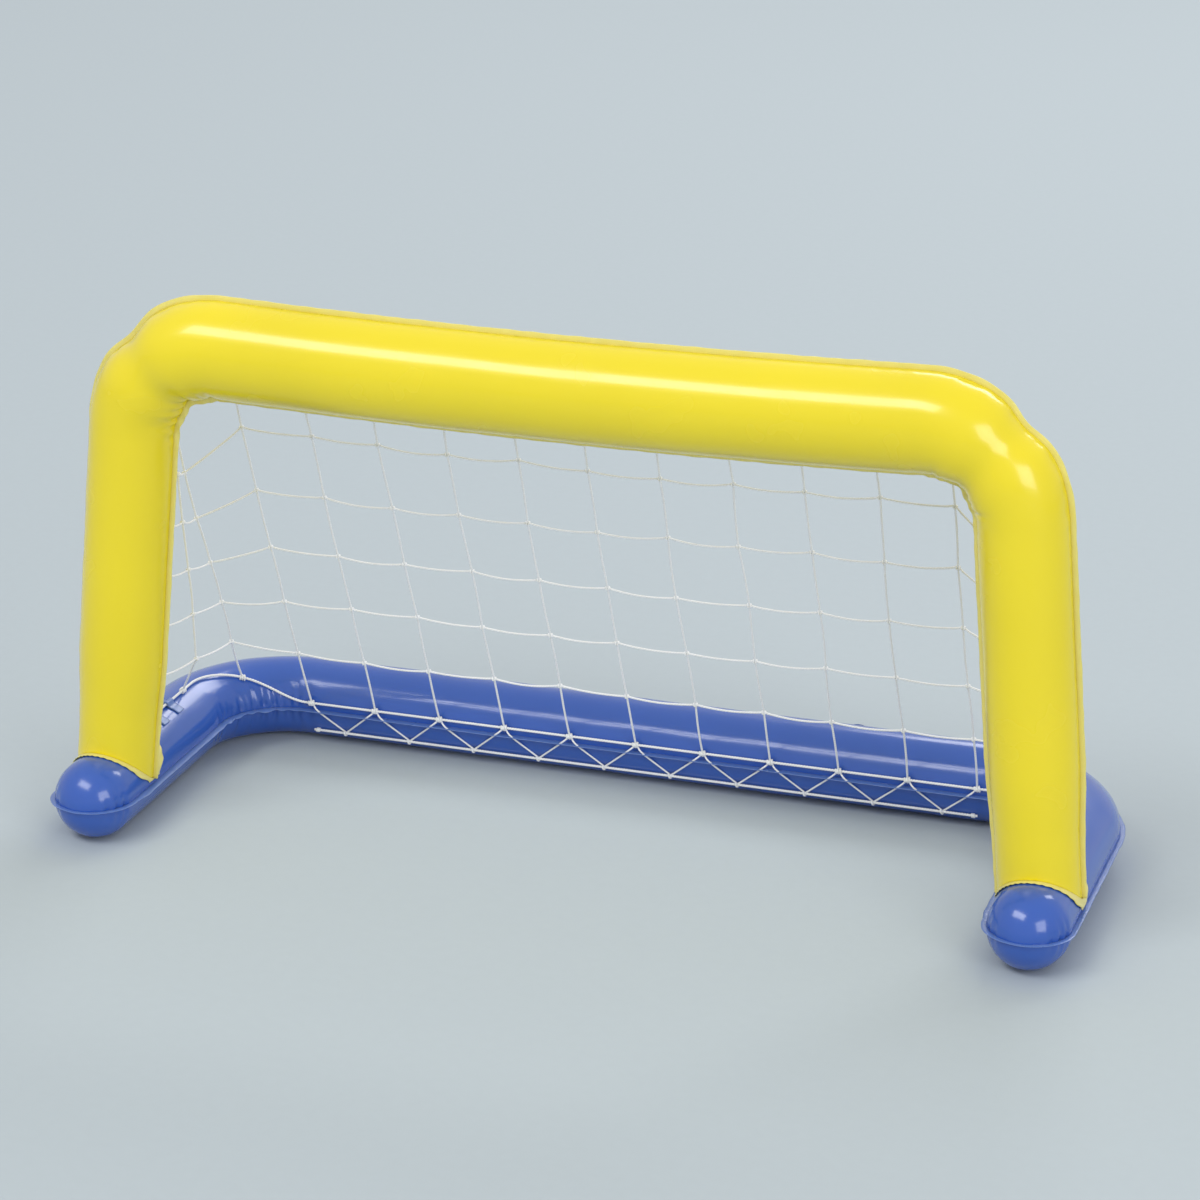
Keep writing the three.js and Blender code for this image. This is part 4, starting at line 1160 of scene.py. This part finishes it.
for number, column in enumerate(CROSSBAR_KEEPER_COLUMNS, 1):
    span = arch.starts[1], arch.starts[4]
    column_at = where(lambda distance: arch.centre(distance)[:, 0], column * MESH_WIDTH, *span)
    arch_keeper(f"crossbar_rope_keeper_{number}", column_at)
for word, side in (("left", -1), ("right", 1)):
    for number, row in enumerate(POST_KEEPER_ROWS, 1):
        arch_keeper(f"{word}_post_rope_keeper_{number}", post_row_distance(row, side))
    for number, share in enumerate(ARM_KEEPER_SHARES, 1):
        arm_at = base.mirrored(mix(FIRST_FOOT_POINT, base.starts[1], share), side)
        keeper(f"{word}_arm_rope_keeper_{number}", base, arm_at, foot_rope_angle(arm_at), BASE_RADIUS)


# Air valves


def lathed(profile):
    """A turned part. Its profile, in millimetres, is a closed loop or has its ends on the axis."""
    reach, height = MILLIMETRE * np.array(profile).T[..., None, None]
    rings = reach * swung(EAST, REAR, full_turn(72)) + UP * height
    if profile[0][0] == 0:
        return tube_part(rings[1:-1], (rings[0][0], rings[-1][0]))
    return tube_part(rings, joined=True)


def rounded_block(low, high, rounding=0.0003):
    low, high = np.array(low), np.array(high)
    middle, half = (low + high) / 2, (high - low) / 2
    way = swung(EAST, REAR, full_turn(24) + np.pi / 24)
    outline = middle + (half - rounding) * np.sign(way) + rounding * way
    return prism(outline, UP, -half[2], half[2])


def valve(name, slot):
    groove = ((0.4, 1.2), (0, 0.9), (-0.4, 1.2))
    grooves = [(radius + off, height) for radius in (14, 12, 8.8) for off, height in groove]
    flange = [(6.5, 0), (15.8, 0), (16, 0.2), (16, 0.6), (15.2, 1.1), *grooves, (6.7, 1.2), (6.5, 1)]
    stem = [
        (4.3, -16), (6, -16), (6, -10), (6.2, -9.6), (6, -9.2), (6, 1.3), (6.2, 1.5), (7.7, 1.5),
        (8, 1.8), (8, 3), (7.7, 3.3), (4.6, 3.3), (4.3, 3),
    ]
    flap = [(0, -17.1), (5.3, -17.1), (5.6, -16.9), (5.6, -16.5), (5.3, -16.3), (0, -16.3)]
    plug = [
        (0, -2.4), (1.8, -2.4), (2.2, -2), (3.7, 2), (4, 3), (3.9, 3.6), (6.7, 3.6), (7, 3.9),
        (7, 4.8), (6.4, 5.4), (4.5, 5.4), (4, 5), (0, 4.9),
    ]
    hinge = EAST * STRAP_REACH + UP * HINGE_HEIGHT
    knuckle = prism(hinge + KNUCKLE_RADIUS * swung(EAST, UP, full_turn(24)), REAR, -STRAP_HALF, STRAP_HALF)
    strap = rounded_block((0.0070, -STRAP_HALF, 0.0021), (STRAP_REACH, STRAP_HALF, 0.0033))
    ear = rounded_block((0.0058, -STRAP_HALF, 0.0036), (STRAP_REACH - 0.0014, STRAP_HALF, 0.0048))
    tab = rounded_block((-0.010, -0.002, 0.00405), (-0.0061, 0.002, 0.00495), rounding=0.0012)
    pieces = [
        ("flange", [lathed(flange)], "goal", slot),
        ("stem", [lathed(stem), strap, knuckle], f"{name}_valve", "clear_vinyl"),
        ("flap", [lathed(flap)], f"{name}_valve", "clear_vinyl"),
        ("plug", [lathed(plug), ear, tab], f"{name}_plug", "clear_vinyl"),
    ]
    for word, parts, body, piece_slot in pieces:
        piece = tubes_object(f"{name}_valve_{word}_moulding", *parts)
        piece.data.transform(VALVES[name])
        piece.data.set_sharp_from_angle(angle=SHARP_EDGE)
        finish(piece, piece_slot, f"{name}_valve_{word}", body=body)


valve("arch", "yellow_vinyl")
valve("base", "blue_vinyl")


# Stage, light and camera


def studio_ground():
    """A pale matt floor. What the camera sees of it turns into the backdrop's colour far off."""
    material, tree, shader, place = new_material("studio_floor")
    grain = ranged(tree, noise(tree, place, 60.0, 4.0), 0.3, 0.7)
    pale = tinted(tree, grain, shaded(FLOOR_COLOUR, 0.985), shaded(FLOOR_COLOUR))
    feed(tree, shader, {"Base Color": pale, "Roughness": 0.8, "Specular IOR Level": 0.2})
    reach = add(tree, "ShaderNodeVectorMath", "Value", {0: place}, operation="LENGTH")
    seen = {0: ranged(tree, reach, *FLOOR_FADE), 1: add(tree, "ShaderNodeLightPath", "Is Camera Ray")}
    seen_far = add(tree, "ShaderNodeMath", "Value", seen, operation="MULTIPLY")
    backdrop = add(tree, "ShaderNodeEmission", "Emission", {"Color": shaded(BACKDROP_COLOUR)})
    for_camera(tree, seen_far, shader.outputs["BSDF"], backdrop, "Material Output")
    return material


def floor():
    rim = swung(EAST, REAR, full_turn(FLOOR_SIDES)) * FLOOR_REACH
    ground = mesh_object("studio_floor", rim - UP * FLOOR_DROP, [list(range(FLOOR_SIDES))])
    ground.data.materials.append(studio_ground())


def lamp(name, place, size, power):
    light = bpy.data.lights.new(name, "AREA")
    light.shape = "RECTANGLE"
    light.size, light.size_y = size
    light.energy = power
    made = linked(name, light)
    made.location = place
    made.rotation_euler = (AIM - Vector(place)).to_track_quat("-Z", "Y").to_euler()


def world_light(strength):
    """White light from all round. The camera sees the backdrop's colour in its place."""
    world = bpy.data.worlds.new("soft_sky")
    world.use_nodes = True
    tree = world.node_tree
    light = tree.nodes["Background"]
    feed(tree, light, {"Color": (1, 1, 1, 1), "Strength": strength})
    backdrop = add(tree, "ShaderNodeBackground", "Background", {"Color": shaded(BACKDROP_COLOUR)})
    seen = add(tree, "ShaderNodeLightPath", "Is Camera Ray")
    for_camera(tree, seen, light.outputs["Background"], backdrop, "World Output")
    bpy.context.scene.world = world


def camera():
    data = bpy.data.cameras.new("camera")
    data.sensor_width = SENSOR_WIDTH
    data.lens = SENSOR_WIDTH / (2 * math.tan(CAMERA_FIELD / 2))
    made = linked("camera", data)
    way = Vector(swung(swung(-REAR, -EAST, CAMERA_AZIMUTH), UP, CAMERA_ELEVATION))
    made.location = AIM + way * CAMERA_DISTANCE
    turn = (-way).to_track_quat("-Z", "Y").to_matrix() @ Matrix.Rotation(-CAMERA_ROLL, 3, "Z")
    made.rotation_euler = turn.to_euler()
    bpy.context.scene.camera = made


floor()
lamp("key", (-2.9, -5.8, 7.9), (6.2, 2.9), 335)
lamp("fill", (7.0, -6.2, 4.0), (4.8, 4.8), 255)
lamp("rim", (1.4, 7.0, 5.8), (6.2, 2.9), 260)
world_light(0.67)
camera()
bpy.context.scene.view_settings.view_transform = "Standard"
